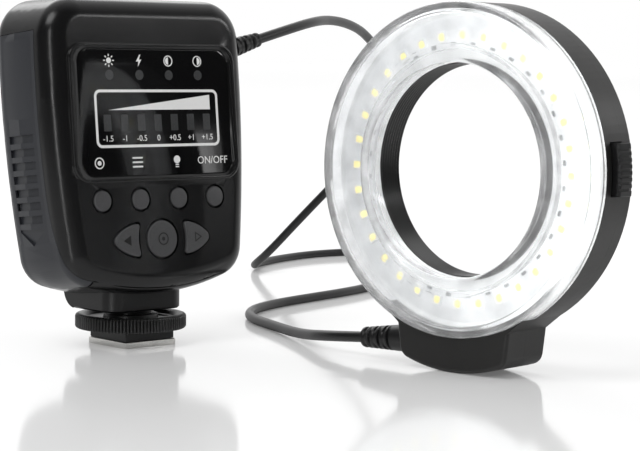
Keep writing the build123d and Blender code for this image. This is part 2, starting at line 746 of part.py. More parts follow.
# Neck heel: the rear part of the neck, curving up behind the body
with BuildPart() as neck_heel:
    with BuildSketch(Plane.YZ.offset(-NECK_HALF)):
        with BuildLine():
            Line((NECK_SEAM, NECK_BOTTOM), (NECK_SEAM, 26))
            Line((NECK_SEAM, 26), (13.6, 26))
            Line((13.6, 26), (15.3, 17.5))
            ThreePointArc((15.3, 17.5), (14.1, 13.0), (NECK_SEAM, NECK_BOTTOM))
        make_face()
    extrude(amount=2 * NECK_HALF)
    add(OUTER, mode=Mode.SUBTRACT)
neck_heel.part.label = "neck_heel"
export_step(neck_heel.part, "parts/neck_heel.step")

# Mounting collar: the round column that the lock ring turns on
STEM_SCREWS = [(sx * 3.3, sy * 3.3 - 0.4) for sx in (-1, 1) for sy in (-1, 1)]
with BuildPart() as mount_collar:
    with BuildSketch(Plane.XY.offset(FOOT[2])):
        Circle(STEM_RADIUS)
        with Locations(*STEM_SCREWS):
            Circle(0.8, mode=Mode.SUBTRACT)
        with Locations((0, CONTACT_Y)):
            Circle(1.0, mode=Mode.SUBTRACT)
    extrude(amount=NECK_BOTTOM - FOOT[2])
mount_collar.part.label = "mount_collar"
export_step(mount_collar.part, "parts/mount_collar.step")

# Foot plate: the metal hot-shoe foot
with BuildPart() as foot_plate:
    with BuildSketch(Plane.XY):
        Rectangle(FOOT[0], FOOT[1])
        chamfer(vertices().group_by(Axis.Y)[-1], 1.4)
        with Locations((0, CONTACT_Y)):
            Circle(1.0, mode=Mode.SUBTRACT)
        with Locations(*STEM_SCREWS):
            Circle(0.8, mode=Mode.SUBTRACT)
    extrude(amount=FOOT[2])
    chamfer(faces().sort_by(Axis.Z)[-1].outer_wire().edges(), 0.25)
    with BuildSketch(Plane.XY):
        with Locations(*STEM_SCREWS):
            Circle(1.65)
    extrude(amount=1.0, taper=40, mode=Mode.SUBTRACT)
foot_plate.part.label = "foot_plate"
export_step(foot_plate.part, "parts/foot_plate.step")

# Foot screws: countersunk heads just inside the plate's underside
with BuildPart() as foot_screws:
    with BuildSketch(Plane.XY.offset(0.15)):
        with Locations(*STEM_SCREWS):
            Circle(1.4)
    extrude(amount=0.75, taper=40)
    with BuildSketch(Plane.XY.offset(0.15)):
        with Locations(*STEM_SCREWS):
            Circle(0.72)
    extrude(amount=7.5)
    with BuildSketch(Plane.XY.offset(0.15)):
        with Locations(*STEM_SCREWS):
            Rectangle(1.6, 0.4)
            Rectangle(0.4, 1.6)
    extrude(amount=0.4, mode=Mode.SUBTRACT)
foot_screws.part.label = "foot_screws"
export_step(foot_screws.part, "parts/foot_screws.step")

# Sync contact: spring-loaded pin, flush with the foot when the flash stands on it
with BuildPart() as sync_contact:
    with BuildSketch(Plane.XY.offset(0.02)):
        with Locations((0, CONTACT_Y)):
            Circle(0.93)
    extrude(amount=6.0)
    chamfer(faces().sort_by(Axis.Z)[0].edges(), 0.25)
sync_contact.part.label = "sync_contact"
export_step(sync_contact.part, "parts/sync_contact.step")

# Clamp plate: square plate that the lock ring presses on the shoe's rails
with BuildPart() as clamp_plate:
    with BuildSketch(Plane.XY.offset(CLAMP[0])):
        Rectangle(FOOT[0] - 0.6, FOOT[1] - 0.6)
        chamfer(vertices().group_by(Axis.Y)[-1], 1.4)
        Circle(STEM_RADIUS + 0.1, mode=Mode.SUBTRACT)
    extrude(amount=CLAMP[1] - CLAMP[0])
clamp_plate.part.label = "clamp_plate"
export_step(clamp_plate.part, "parts/clamp_plate.step")

# Lock ring: knurled wheel with a dished top and two spanner notches
with BuildPart() as lock_ring:
    with BuildSketch(Plane.XY.offset(RING_BOTTOM)):
        Circle(LOCK_RADIUS)
        Circle(STEM_RADIUS + 0.06, mode=Mode.SUBTRACT)
        with PolarLocations(LOCK_RADIUS, KNURLS):
            RegularPolygon(KNURL_CUT, 3, rotation=180, mode=Mode.SUBTRACT)
    extrude(amount=RING_TOP - RING_BOTTOM)
    with BuildSketch(Plane.XY.offset(RING_TOP)):
        Circle(LOCK_RADIUS - 2.6)
        Circle(STEM_RADIUS + 2.0, mode=Mode.SUBTRACT)
    extrude(amount=-1.5, taper=20, mode=Mode.SUBTRACT)
    with BuildSketch(Plane.XY.offset(RING_TOP - 1.5)):
        with PolarLocations(11.0, 2):
            SlotOverall(5.5, 2.4, rotation=90)
    extrude(amount=-1.2, mode=Mode.SUBTRACT)
lock_ring.part.label = "lock_ring"
export_step(lock_ring.part, "parts/lock_ring.step")


# Ring head: front housing, a ring channel open to the rear with the front half of the base block
def block_outline():
    """The base block seen from in front: near-upright sides, horned shoulders and a bowed foot."""
    shoulder_x, shoulder_y = BLOCK_SHOULDER
    foot_x, foot_y = BLOCK_SIDE_FOOT
    horn_y = -sqrt(HEAD_RADIUS**2 - BLOCK_HORN**2)
    with BuildSketch() as outline:
        with Locations((BLOCK_CENTRE, 0)):
            with BuildLine():
                Polyline(
                    (-foot_x, foot_y), (-shoulder_x, shoulder_y), (-BLOCK_HORN, horn_y), (0, horn_y + 4),
                    (BLOCK_HORN, horn_y), (shoulder_x, shoulder_y), (foot_x, foot_y),
                )
                ThreePointArc((foot_x, foot_y), (0, -HEAD_CENTRE.Z), (-foot_x, foot_y))
            make_face()
        fillet(vertices().group_by(Axis.Y)[0], 4.0)
    return outline.sketch


def release_outline(side, inner, outer, grow):
    """A piece of ring wall between two radii, cut off level so that it can move across the ring."""
    low, high = RELEASE_SPAN
    with BuildSketch() as outline:
        Circle(outer)
        Circle(inner, mode=Mode.SUBTRACT)
        with Locations((side * HEAD_RADIUS, (low + high) / 2)):
            Rectangle(20, high - low + 2 * grow, mode=Mode.INTERSECT)
    return outline.sketch


HEAD_SCREWS = [(SCREW_RING * cos(radians(a)), SCREW_RING * sin(radians(a))) for a in SCREW_ANGLES]
HEAD_CORE = HEAD_RADIUS - SHELL

with BuildPart() as block_front:
    with BuildSketch(head_plane(BLOCK_SEAM)):
        add(block_outline())
    extrude(amount=BLOCK_FRONT - BLOCK_SEAM)
    fillet(faces().sort_by(HEAD_DEPTH_AXIS)[-1].edges().sort_by(Axis.Z)[:-4], 1.2)
    with BuildSketch(head_plane(BLOCK_FRONT)):
        Circle(HEAD_RADIUS)
    extrude(amount=BLOCK_SEAM - BLOCK_FRONT, mode=Mode.SUBTRACT)

with BuildPart() as head_front_housing:
    with BuildSketch(head_plane(HEAD_SEAM)):
        Circle(HEAD_RADIUS)
        Circle(HEAD_CORE, mode=Mode.SUBTRACT)
    extrude(amount=-HEAD_SEAM)
    with BuildSketch(head_plane(0)):
        Circle(HEAD_RADIUS)
        Circle(BORE_RADIUS + BARREL_WALL, mode=Mode.SUBTRACT)
    extrude(amount=-FLOOR)
    for side in (-1, 1):
        with BuildSketch(head_plane(RELEASE_DEPTH[0] - 0.2)):
            add(release_outline(side, HEAD_CORE - 1, HEAD_RADIUS + 1, 0.25))
        extrude(amount=RELEASE_DEPTH[1] - RELEASE_DEPTH[0] + 0.4, mode=Mode.SUBTRACT)
    with BuildSketch(head_plane(-FLOOR)):
        with Locations(*HEAD_SCREWS):
            Circle(1.9)
    extrude(amount=HEAD_SEAM + FLOOR)
    with BuildSketch(head_plane(HEAD_SEAM)):
        with Locations(*HEAD_SCREWS):
            Circle(0.8)
    extrude(amount=5, mode=Mode.SUBTRACT)
    add(block_front.part)
head_front_housing.part.label = "head_front_housing"
export_step(head_front_housing.part, "parts/head_front_housing.step")

# Rear cover: the ring's back with the rear half of the base block
with BuildPart() as head_rear_cover:
    with BuildSketch(head_plane(HEAD_BACK)):
        add(block_outline())
        Circle(HEAD_RADIUS - 0.4)
    extrude(amount=HEAD_SEAM - HEAD_BACK)
    with BuildSketch(head_plane(HEAD_SEAM)):
        add(block_outline())
        Circle(HEAD_RADIUS, mode=Mode.SUBTRACT)
    extrude(amount=BLOCK_SEAM - HEAD_SEAM)
    with BuildSketch(head_plane(HEAD_BACK)):
        Circle(HEAD_RADIUS)
    extrude(amount=HEAD_SEAM - HEAD_BACK)
    with BuildSketch(head_plane(HEAD_BACK)):
        Circle(COVER_OPENING)
    extrude(amount=HEAD_SEAM - HEAD_BACK, mode=Mode.SUBTRACT)
    with BuildSketch(head_plane(HEAD_BACK + COVER)):
        Circle(HEAD_CORE)
    extrude(amount=HEAD_SEAM - HEAD_BACK - COVER, mode=Mode.SUBTRACT)
    with BuildSketch(head_plane(HEAD_BACK + COVER)):
        with Locations(*HEAD_SCREWS):
            Circle(1.9)
    extrude(amount=HEAD_SEAM - HEAD_BACK - COVER)
    with BuildSketch(head_plane(HEAD_BACK)):
        with Locations(*HEAD_SCREWS):
            Circle(1.0)
    extrude(amount=6, mode=Mode.SUBTRACT)
    with BuildSketch(head_plane(HEAD_BACK)):
        with Locations(*HEAD_SCREWS):
            Circle(1.7)
    extrude(amount=1.2, mode=Mode.SUBTRACT)
head_rear_cover.part.label = "head_rear_cover"
export_step(head_rear_cover.part, "parts/head_rear_cover.step")

# Cover screws
with BuildPart() as head_screws:
    with BuildSketch(head_plane(HEAD_BACK + 0.3)):
        with Locations(*HEAD_SCREWS):
            Circle(0.78)
    extrude(amount=7.5)
    with BuildSketch(head_plane(HEAD_BACK + 0.3)):
        with Locations(*HEAD_SCREWS):
            Circle(1.55)
    extrude(amount=0.9)
    with BuildSketch(head_plane(HEAD_BACK + 0.3)):
        with Locations(*HEAD_SCREWS):
            Rectangle(1.8, 0.45)
            Rectangle(0.45, 1.8)
    extrude(amount=0.5, mode=Mode.SUBTRACT)
head_screws.part.label = "head_screws"
export_step(head_screws.part, "parts/head_screws.step")

# Inner barrel: the black sleeve round the lens opening
with BuildPart() as inner_barrel:
    with BuildSketch(head_plane(BARREL_SPAN[0])):
        Circle(BORE_RADIUS + BARREL_WALL)
        Circle(BORE_RADIUS, mode=Mode.SUBTRACT)
    extrude(amount=BARREL_SPAN[1] - BARREL_SPAN[0])
inner_barrel.part.label = "inner_barrel"
export_step(inner_barrel.part, "parts/inner_barrel.step")

# Release slides: each button pushes a ring plate whose claw is on the far side of the bore
for side, side_name in ((-1, "left"), (1, "right")):
    depth = SLIDE_DEPTHS[side]
    with BuildPart() as release_slide:
        with BuildSketch(head_plane(depth)):
            Circle(SLIDE_RING[1])
            with Locations((side * (SLIDE_RING[1] + HEAD_RADIUS) / 2, RELEASE_LEVEL)):
                Rectangle(HEAD_RADIUS - SLIDE_RING[1] + 1, 8)
            Circle(HEAD_RADIUS - 1.0, mode=Mode.INTERSECT)
            Circle(SLIDE_RING[0], mode=Mode.SUBTRACT)
            with Locations((-side * (CLAW_TIP + SLIDE_RING[0] + 1) / 2, 0)):
                Rectangle(SLIDE_RING[0] + 1 - CLAW_TIP, 2 * CLAW_HALF)
        extrude(amount=SLIDE_THICK)
    release_slide.part.label = f"{side_name}_release_slide"
    export_step(release_slide.part, f"parts/{side_name}_release_slide.step")
    with BuildPart() as release_button:
        with BuildSketch(head_plane(RELEASE_DEPTH[0])):
            add(release_outline(side, HEAD_RADIUS - 1.0, RELEASE_OUTER, 0))
            for i in range(GROOVE_COUNT):
                level = RELEASE_LEVEL + GROOVE_PITCH * (i - (GROOVE_COUNT - 1) / 2)
                with Locations((side * sqrt(RELEASE_OUTER**2 - level**2), level)):
                    Rectangle(1.4, 0.7, mode=Mode.SUBTRACT)
        extrude(amount=RELEASE_DEPTH[1] - RELEASE_DEPTH[0])
    release_button.part.label = f"{side_name}_release_button"
    export_step(release_button.part, f"parts/{side_name}_release_button.step")

# Reflector: white tray under the lights
with BuildPart() as reflector:
    with BuildSketch(head_plane(0)):
        Circle(HEAD_RADIUS - RIM_WALL - 0.1)
        Circle(BORE_RADIUS + BARREL_WALL, mode=Mode.SUBTRACT)
    extrude(amount=REFLECTOR[0])
    with BuildSketch(head_plane(REFLECTOR[0])):
        Circle(HEAD_RADIUS - RIM_WALL - 0.1)
        Circle(HEAD_RADIUS - RIM_WALL - 0.9, mode=Mode.SUBTRACT)
    extrude(amount=REFLECTOR[1])
reflector.part.label = "reflector"
export_step(reflector.part, "parts/reflector.step")

# LED board and its ring of chips
with BuildPart() as led_board:
    with BuildSketch(head_plane(REFLECTOR[0])):
        Circle(LED_BOARD[1])
        Circle(LED_BOARD[0], mode=Mode.SUBTRACT)
    extrude(amount=LED_BOARD[2])
led_board.part.label = "led_board"
export_step(led_board.part, "parts/led_board.step")
with BuildPart() as led_chips:
    with BuildSketch(head_plane(REFLECTOR[0] + LED_BOARD[2])):
        with PolarLocations(LED_RADIUS, LED_COUNT):
            Rectangle(LED_CHIP[0], LED_CHIP[1])
    extrude(amount=LED_CHIP[2])
led_chips.part.label = "led_chips"
export_step(led_chips.part, "parts/led_chips.step")

# Diffuser: clear cover with a stepped rim and a lip that runs into the lens opening
with BuildPart() as diffuser:
    with BuildSketch(head_plane(0)):
        Circle(HEAD_RADIUS)
    extrude(amount=DIFFUSER_FRONT)
    chamfer(faces().sort_by(HEAD_DEPTH_AXIS)[-1].edges(), 0.8)
    with BuildSketch(head_plane(DIFFUSER_FRONT)):
        Circle(RIM_STEP[0])
    extrude(amount=-RIM_STEP[1], mode=Mode.SUBTRACT)
    with BuildSketch(head_plane(0)):
        Circle(HEAD_RADIUS - RIM_WALL)
    extrude(amount=DIFFUSER_FRONT - RIM_FLOOR, mode=Mode.SUBTRACT)
    with BuildSketch(head_plane(DIFFUSER_LIP)):
        Circle(BORE_RADIUS + BARREL_WALL + 2.6)
    extrude(amount=DIFFUSER_FRONT - RIM_STEP[1] - DIFFUSER_LIP)
    with BuildSketch(head_plane(0)):
        Circle(BORE_RADIUS + 0.2)
    extrude(amount=DIFFUSER_FRONT, mode=Mode.SUBTRACT)
diffuser.part.label = "diffuser"
export_step(diffuser.part, "parts/diffuser.step")

# Cable boots
def tapered_boot(tip, towards, length, root, end, ribs):
    """A tapered boot that ends at tip, with raised ribs; towards is the way the cable leaves it."""
    base = Plane(origin=tip - towards * length, z_dir=towards)
    with BuildPart() as made:
        with BuildSketch(base):
            Circle(root)
        with BuildSketch(base.offset(length)):
            Circle(end)
        loft()
        for i in range(ribs):
            share = (0.42, 0.6, 0.78)[i]
            with BuildSketch(base.offset(length * share)):
                Circle(root + (end - root) * share + BOOT_RIB)
            extrude(amount=length * 0.1)
    return made.part


UNIT_LEAD = (ROUTE[1] - ROUTE[0]).normalized()
HEAD_LEAD = (ROUTE[-2] - ROUTE[-1]).normalized()
with BuildPart() as unit_cable_boot:
    add(tapered_boot(ROUTE[0], UNIT_LEAD, UNIT_BOOT[0], UNIT_BOOT[1], UNIT_BOOT[2], 3))
    add(OUTER, mode=Mode.SUBTRACT)
unit_cable_boot.part.label = "unit_cable_boot"
export_step(unit_cable_boot.part, "parts/unit_cable_boot.step")
with BuildPart() as head_cable_boot:
    add(tapered_boot(ROUTE[-1], HEAD_LEAD, HEAD_BOOT[0], HEAD_BOOT[1], HEAD_BOOT[2], 3))
    add(head_front_housing.part, mode=Mode.SUBTRACT)
    add(head_rear_cover.part, mode=Mode.SUBTRACT)
head_cable_boot.part.label = "head_cable_boot"
export_step(head_cable_boot.part, "parts/head_cable_boot.step")

# Cable: round cord along the route, each corner rounded as far as its shorter run allows
runs = [(b - a).length for a, b in zip(ROUTE, ROUTE[1:])]
turns = [(b - a).get_angle(c - b) for a, b, c in zip(ROUTE, ROUTE[1:], ROUTE[2:])]
radii = [0.45 * min(pair) / tan(radians(turn / 2)) for turn, *pair in zip(turns, runs, runs[1:])]
with BuildPart() as cable:
    with BuildLine() as cable_path:
        FilletPolyline(*ROUTE, radius=radii)
    with BuildSketch(Plane(origin=ROUTE[0], z_dir=UNIT_LEAD)):
        Circle(CABLE_RADIUS)
    sweep(path=cable_path.line)
cable.part.label = "cable"
export_step(cable.part, "parts/cable.step")
path_length = sum(edge.length for edge in cable_path.line.edges())
print("cable length", round(path_length, 1), "smallest radius", round(min(radii), 1))
print("cable volume", round(cable.part.volume, 1), "expected", round(pi * CABLE_RADIUS**2 * path_length, 1))
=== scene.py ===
"""Macro ring flash: dresses the packed model with its finished pieces, materials and stage."""

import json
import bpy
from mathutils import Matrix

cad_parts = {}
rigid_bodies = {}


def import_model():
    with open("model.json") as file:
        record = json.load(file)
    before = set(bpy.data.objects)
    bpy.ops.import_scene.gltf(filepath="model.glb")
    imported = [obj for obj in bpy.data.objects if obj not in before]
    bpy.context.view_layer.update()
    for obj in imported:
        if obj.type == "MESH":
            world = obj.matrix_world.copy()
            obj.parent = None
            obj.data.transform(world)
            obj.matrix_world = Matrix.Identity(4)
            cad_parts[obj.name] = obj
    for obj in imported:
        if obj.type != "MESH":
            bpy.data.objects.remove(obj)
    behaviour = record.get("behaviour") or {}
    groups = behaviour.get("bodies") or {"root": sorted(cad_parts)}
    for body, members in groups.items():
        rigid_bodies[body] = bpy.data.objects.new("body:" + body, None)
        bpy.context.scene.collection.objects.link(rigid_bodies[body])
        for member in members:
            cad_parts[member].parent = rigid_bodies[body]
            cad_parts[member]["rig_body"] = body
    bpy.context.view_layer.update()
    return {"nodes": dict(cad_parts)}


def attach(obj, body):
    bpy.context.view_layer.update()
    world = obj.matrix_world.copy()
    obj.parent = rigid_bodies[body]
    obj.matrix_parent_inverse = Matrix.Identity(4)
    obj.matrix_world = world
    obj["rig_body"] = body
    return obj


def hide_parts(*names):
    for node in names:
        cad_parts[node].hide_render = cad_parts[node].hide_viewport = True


bl_info = {
    "name": "Macro ring flash",
    "version": (1, 0, 0),
    "blender": (4, 5, 0),
    "location": "View3D > Sidebar > Ring flash",
    "description": "Builds a macro ring flash over its mechanical frame, piece by piece",
    "category": "Object",
}

import bmesh
import bpy
import numpy as np
from bpy.props import FloatProperty, FloatVectorProperty, IntProperty, PointerProperty
from mathutils import Matrix, Vector

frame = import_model()
MM = 0.001

# The leaning unit's directions: x along its width, v from the display to the rear, w up the unit
LEAN = np.radians(6.0)
UNIT_AXES = np.array([[1, 0, 0], [0, np.cos(LEAN), -np.sin(LEAN)], [0, np.sin(LEAN), np.cos(LEAN)]])
UNIT_ORIGIN = np.array([0, 2.45, 53.4]) - 53.4 * UNIT_AXES[2]
WINDOW_FACE = -16.25

# Display: the printed frame, the level bars with their numbers, the status lights and the signs
FRAME = (45.8, 17.0)
FRAME_CENTRE = (0.6, 67.0)
FRAME_LINE = 0.8
WEDGE = ((-17.6, 69.5), (20.4, 69.5), (20.4, 73.9))
BAR = (2.7, 4.9)
BAR_PITCH = 6.14
BAR_CENTRE = (0.4, 65.75)
NUMBERS = ("-1.5", "-1", "-0.5", "0", "+0.5", "+1", "+1.5")
NUMBER_LEVEL = 61.1
LIGHT_X = (-16.4, -5.5, 5.4, 16.4)
LIGHT_LEVEL = 79.8
SIGN_LEVEL = 84.0
LABEL_X = (-21.7, -7.9, 6.7, 20.3)
LABEL_LEVEL = 54.1
PRINT_THICK = 0.05

# Buttons: heights are measured forward of the unit's middle plane
BUTTON_NAMES = ("pilot_button", "mode_button", "light_button", "power_button")
BUTTON_X = (-20.9, -7.1, 7.1, 20.9)
BUTTON_LEVEL = 43.15
BUTTON_RADIUS = 3.05
NAV_LEVEL = 31.2
NAV_RADIUS = 5.5
BUTTON_TOP = 16.25
BUTTON_EDGE = 0.5
FLANGE = (12.75, 13.55)
FLANGE_LIP = 1.1

# Lock ring: its underside and rim, and the stem that it turns on
RING_BOTTOM = 5.0
RING_TOP = 9.4
STEM_RADIUS = 6.26
DISH_LEVEL = 8.0
POCKET_DEEP = 1.1

# The ring head's directions: x to the right seen from in front, y up, and depth to the front
YAW = np.radians(83.7)
HEAD_AXES = np.array([[np.cos(YAW), -np.sin(YAW), 0], [0, 0, 1], [-np.sin(YAW), -np.cos(YAW), 0]])
HEAD_ORIGIN = np.array([41.0, -100.25, 56.5])
LIGHT_REACH = 40.0
HOUSING_REACH = 46.45
SLEEVE_BORE = 29.6
SLEEVE_RADIUS = 31.0
SLEEVE_SPAN = (-6.5, 1.5)
SLEEVE_GROOVES = 7
BOARD_FACE = 1.8

ROUTE = np.array([
    (52.0, 3.45, 92.6), (66.0, 4.45, 96.2), (84.0, 11.95, 99.2), (101.0, 22.95, 100.2),
    (119.0, 33.45, 99.4), (137.0, 44.45, 96.8), (154.0, 54.45, 90.5), (168.6, 65.65, 83.0),
    (180.1, 76.85, 66.0), (181.5, 90.35, 50.0), (175.9, 103.55, 36.0), (167.6, 113.75, 22.0),
    (162.1, 124.15, 9.5), (164.3, 136.95, 2.4), (177.1, 149.65, 1.62), (198.6, 159.95, 1.62),
    (222.0, 166.45, 1.62), (243.0, 165.45, 1.62), (257.0, 154.45, 1.62), (260.0, 138.45, 1.62),
    (250.0, 123.45, 1.62), (234.0, 111.95, 1.62), (214.3, 99.85, 1.62), (190.6, 79.55, 1.62),
    (165.3, 61.95, 1.62), (138.2, 51.45, 1.62), (112.3, 45.15, 1.62), (90.6, 39.15, 1.62),
    (73.4, 30.45, 1.62), (60.6, 16.35, 1.62), (53.8, -3.15, 1.62), (44.0, -27.55, 2.2),
    (35.4, -50.05, 4.8), (37.1, -64.85, 6.0),
])


# Camera fitted to the photo: places in metres, focal length and width in pixels, roll in degrees
CAMERA_PLACE = (-0.3656, -0.48935, 0.0863)
CAMERA_DIRECTION = (0.6685, 0.7392, -0.0815)
CAMERA_ROLL = 0.74
PHOTO_FOCUS = 2018.4
PHOTO_WIDTH = 640

# Stage in metres; each lamp has its place, target and size, and its share of the large lamp's power
FLOOR_REACH = 40.0
BRIGHT_SIDE = (0.6, 0.7, 0.35)
MIDDLE = (0.06, -0.03, 0.05)
WINDOW_SPOT = (0.014, -0.013, 0.06)
LAMPS = (
    ("key", (-0.75, -0.15, 1.05), MIDDLE, (0.6, 0.6), 1.0),
    ("back", (0.45, 0.85, 0.8), MIDDLE, (0.9, 0.5), 0.6),
    ("edge", (-0.82, -0.45, 0.2), MIDDLE, (0.07, 0.6), 0.24),
    ("top", (0.72, -0.68, 0.42), MIDDLE, (0.5, 0.1), 0.24),
    ("card", (0.512, -0.631, 0.13), WINDOW_SPOT, (0.024, 0.07), 0.004),
)


class CasingSettings(bpy.types.PropertyGroup):
    """Finish of the control unit and of the ring's housing."""

    shell: FloatVectorProperty(
        name="Casing", description="Colour of the moulded casing", subtype="COLOR",
        default=(0.006, 0.006, 0.0063), min=0, max=1,
    )
    door: FloatVectorProperty(
        name="Door", description="Colour of the battery door", subtype="COLOR",
        default=(0.021, 0.0225, 0.027), min=0, max=1,
    )
    button: FloatVectorProperty(
        name="Buttons", description="Colour of the control buttons", subtype="COLOR",
        default=(0.06, 0.06, 0.062), min=0, max=1,
    )
    ink: FloatVectorProperty(
        name="Print", description="Colour of the printed scale and signs", subtype="COLOR",
        default=(0.8, 0.8, 0.79), min=0, max=1,
    )


class FootSettings(bpy.types.PropertyGroup):
    """Lock ring of the hot-shoe foot."""

    radius: FloatProperty(
        name="Radius", description="Outer radius of the knurled ring", default=16.8, min=14, max=20
    )
    knurls: IntProperty(name="Knurls", description="Ridges round the lock ring", default=100, min=24, max=140)
    depth: FloatProperty(
        name="Groove depth", description="Depth of the grooves between ridges", default=0.5, min=0.1, max=1
    )


class RingSettings(bpy.types.PropertyGroup):
    """Lights and clear cover of the ring head."""

    lights: IntProperty(name="Lights", description="Lights round the ring", default=32, min=8, max=60)
    light_radius: FloatProperty(
        name="Light circle", description="Radius of the circle of lights", default=37.2, min=34, max=42
    )
    # glow also sets the painted glow of the white reflector, board lacquer and chip packages
    glow: FloatProperty(
        name="Glow", description="Strength of the light from each chip", default=0.55, min=0, max=5
    )
    cover: FloatVectorProperty(
        name="Cover", description="Tint of the clear cover", subtype="COLOR",
        default=(0.97, 0.98, 0.99), min=0, max=1,
    )


class CableSettings(bpy.types.PropertyGroup):
    """The cable and its two boots."""

    radius: FloatProperty(name="Radius", description="Radius of the round cable", default=1.6, min=0.5, max=4)
    ribs: IntProperty(name="Ribs", description="Ribs on each boot", default=6, min=2, max=12)
    rubber: FloatVectorProperty(
        name="Rubber", description="Colour of the cable and its boots", subtype="COLOR",
        default=(0.008, 0.008, 0.0085), min=0, max=1,
    )


class StageSettings(bpy.types.PropertyGroup):
    """Floor and studio light."""

    floor: FloatVectorProperty(
        name="Floor", description="Colour of the floor", subtype="COLOR",
        default=(0.9, 0.9, 0.9), min=0, max=1,
    )
    sky: FloatProperty(
        name="Sky", description="Strength of the light from all round", default=0.6, min=0, max=2
    )
    key: FloatProperty(
        name="Key", description="Power of the large lamp", default=5.0, min=0, max=50, unit="POWER"
    )


# Places and meshes
def unit_space(points):
    """Row place in millimetres of x, v, w: the unit's origin plus each along its own direction."""
    return UNIT_ORIGIN + np.asarray(points, float) @ UNIT_AXES


def head_space(points):
    """Row place in millimetres of x, y, depth: the ring's centre plus each along its direction."""
    return HEAD_ORIGIN + np.asarray(points, float) @ HEAD_AXES


def row_space(points):
    """Points that are in the row frame already."""
    return np.asarray(points, float)


def joined(*shapes):
    """Several shapes as one: points end to end, each shape's corner numbers raised by those before."""
    points, faces, count = [], [], 0
    for some_points, some_faces in shapes:
        points.append(np.asarray(some_points, float).reshape(-1, 3))
        faces += [[i + count for i in face] for face in some_faces]
        count += len(points[-1])
    return np.concatenate(points), faces


def grid(points, wrap_rows=False, wrap_columns=False):
    """Quads between neighbouring rows and columns of a grid of points, closed on itself where asked."""
    rows, columns = points.shape[:2]
    number = np.arange(rows * columns).reshape(rows, columns)
    if wrap_rows:
        number = np.concatenate([number, number[:1]])
    if wrap_columns:
        number = np.concatenate([number, number[:, :1]], axis=1)
    quads = np.stack([number[:-1, :-1], number[1:, :-1], number[1:, 1:], number[:-1, 1:]], axis=-1)
    return points.reshape(-1, 3), quads.reshape(-1, 4).tolist()


def turned(profile, steps, closed=True):
    """A turned solid: profile point (r, z) at angle a is (r cos a, r sin a, z)."""
    r, z = np.asarray(profile, float).T
    a = np.linspace(0, 2 * np.pi, steps, endpoint=False)[:, None]
    points = np.stack([r * np.cos(a), r * np.sin(a), z + 0 * a], axis=-1)
    return grid(points, wrap_rows=True, wrap_columns=closed)


def slab(outline, low, high):
    """A flat solid: the outline (x, y) at two levels, with its two caps and a wall of quads."""
    outline = np.asarray(outline, float)
    count = len(outline)
    points = np.concatenate([np.c_[outline, np.full(count, low)], np.c_[outline, np.full(count, high)]])
    step = np.arange(count)
    after = (step + 1) % count
    walls = np.stack([step, after, after + count, step + count], axis=-1).tolist()
    return points, [step[::-1].tolist(), (step + count).tolist()] + walls


def band(outer, inner, low, high):
    """A flat frame: two outlines with as many points, each at two levels, joined in a closed loop."""
    loops = [(outer, low), (outer, high), (inner, high), (inner, low)]
    points = np.stack([np.c_[loop, np.full(len(loop), level)] for loop, level in loops])
    return grid(points, wrap_rows=True, wrap_columns=True)


def circle(radius, x=0.0, y=0.0, steps=24, start=0.0, sweep=360.0):
    """Points at equal angles of a circle about (x, y)."""
    a = np.radians(start + sweep * np.arange(steps) / (steps if sweep == 360.0 else steps - 1))
    return np.stack([x + radius * np.cos(a), y + radius * np.sin(a)], axis=-1)


def rounded(width, height, radius, x=0.0, y=0.0, steps=8):
    """A rounded rectangle: four quarter circles about the corners' centres."""
    places = ((1, 1, 0), (-1, 1, 90), (-1, -1, 180), (1, -1, 270))
    return np.concatenate([
        circle(radius, x + sx * (width / 2 - radius), y + sy * (height / 2 - radius), steps, start, 90.0)
        for sx, sy, start in places
    ])


def repeated(shape, angles):
    """Copies of a shape turned about the z direction: each point's x and y turned by each angle."""
    points, faces = shape
    copies = []
    for c, s in zip(np.cos(angles), np.sin(angles)):
        turn = np.array([[c, s, 0], [-s, c, 0], [0, 0, 1]])
        copies.append((points @ turn, faces))
    return joined(*copies)


def piece(name, shape, place, material, body, nodes=(), crease=35):
    """A finished piece from a shape: doubles merged, faces outwards, smooth up to the crease angle."""
    points, faces = shape
    mesh = bpy.data.meshes.new(name)
    mesh.from_pydata((place(points) * MM).tolist(), [], faces)
    return finished(name, mesh, material, body, nodes, crease)


def finished(name, mesh, material, body, nodes=(), crease=35, turn_out=True):
    """Cleans a mesh, shades it, and lets its object ride on a body and stand for CAD nodes."""
    work = bmesh.new()
    work.from_mesh(mesh)
    bmesh.ops.remove_doubles(work, verts=work.verts, dist=2e-6)
    if turn_out:
        bmesh.ops.recalc_face_normals(work, faces=work.faces)
    work.to_mesh(mesh)
    work.free()
    mesh.shade_smooth()
    mesh.set_sharp_from_angle(angle=np.radians(crease))
    mesh.materials.clear()
    mesh.materials.append(material)
    made = bpy.data.objects.new(name, mesh)
    bpy.context.scene.collection.objects.link(made)
    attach(made, body)
    if nodes:
        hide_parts(*nodes)
    return made


def smoothed(node, material, crease=28, bevel=0.0):
    """A CAD node's form with merged corners, even shading, and its sharp edges slightly broken."""
    source = frame["nodes"][node]
    made = finished(
        f"{node}_finished", source.data.copy(), material, source["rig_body"], (node,), crease, turn_out=False
    )
    if bevel:
        edge = made.modifiers.new("Broken edges", "BEVEL")
        edge.width = bevel * MM
        edge.segments = 2
        edge.limit_method = "ANGLE"
        edge.angle_limit = np.radians(40)
        edge.use_clamp_overlap = True
        edge.harden_normals = True
    even = made.modifiers.new("Even shading", "WEIGHTED_NORMAL")
    even.keep_sharp = True
    return made


def paint(node, material):
    """Gives a CAD node that keeps its own mesh a better material."""
    mesh = frame["nodes"][node].data
    mesh.materials.clear()
    mesh.materials.append(material)


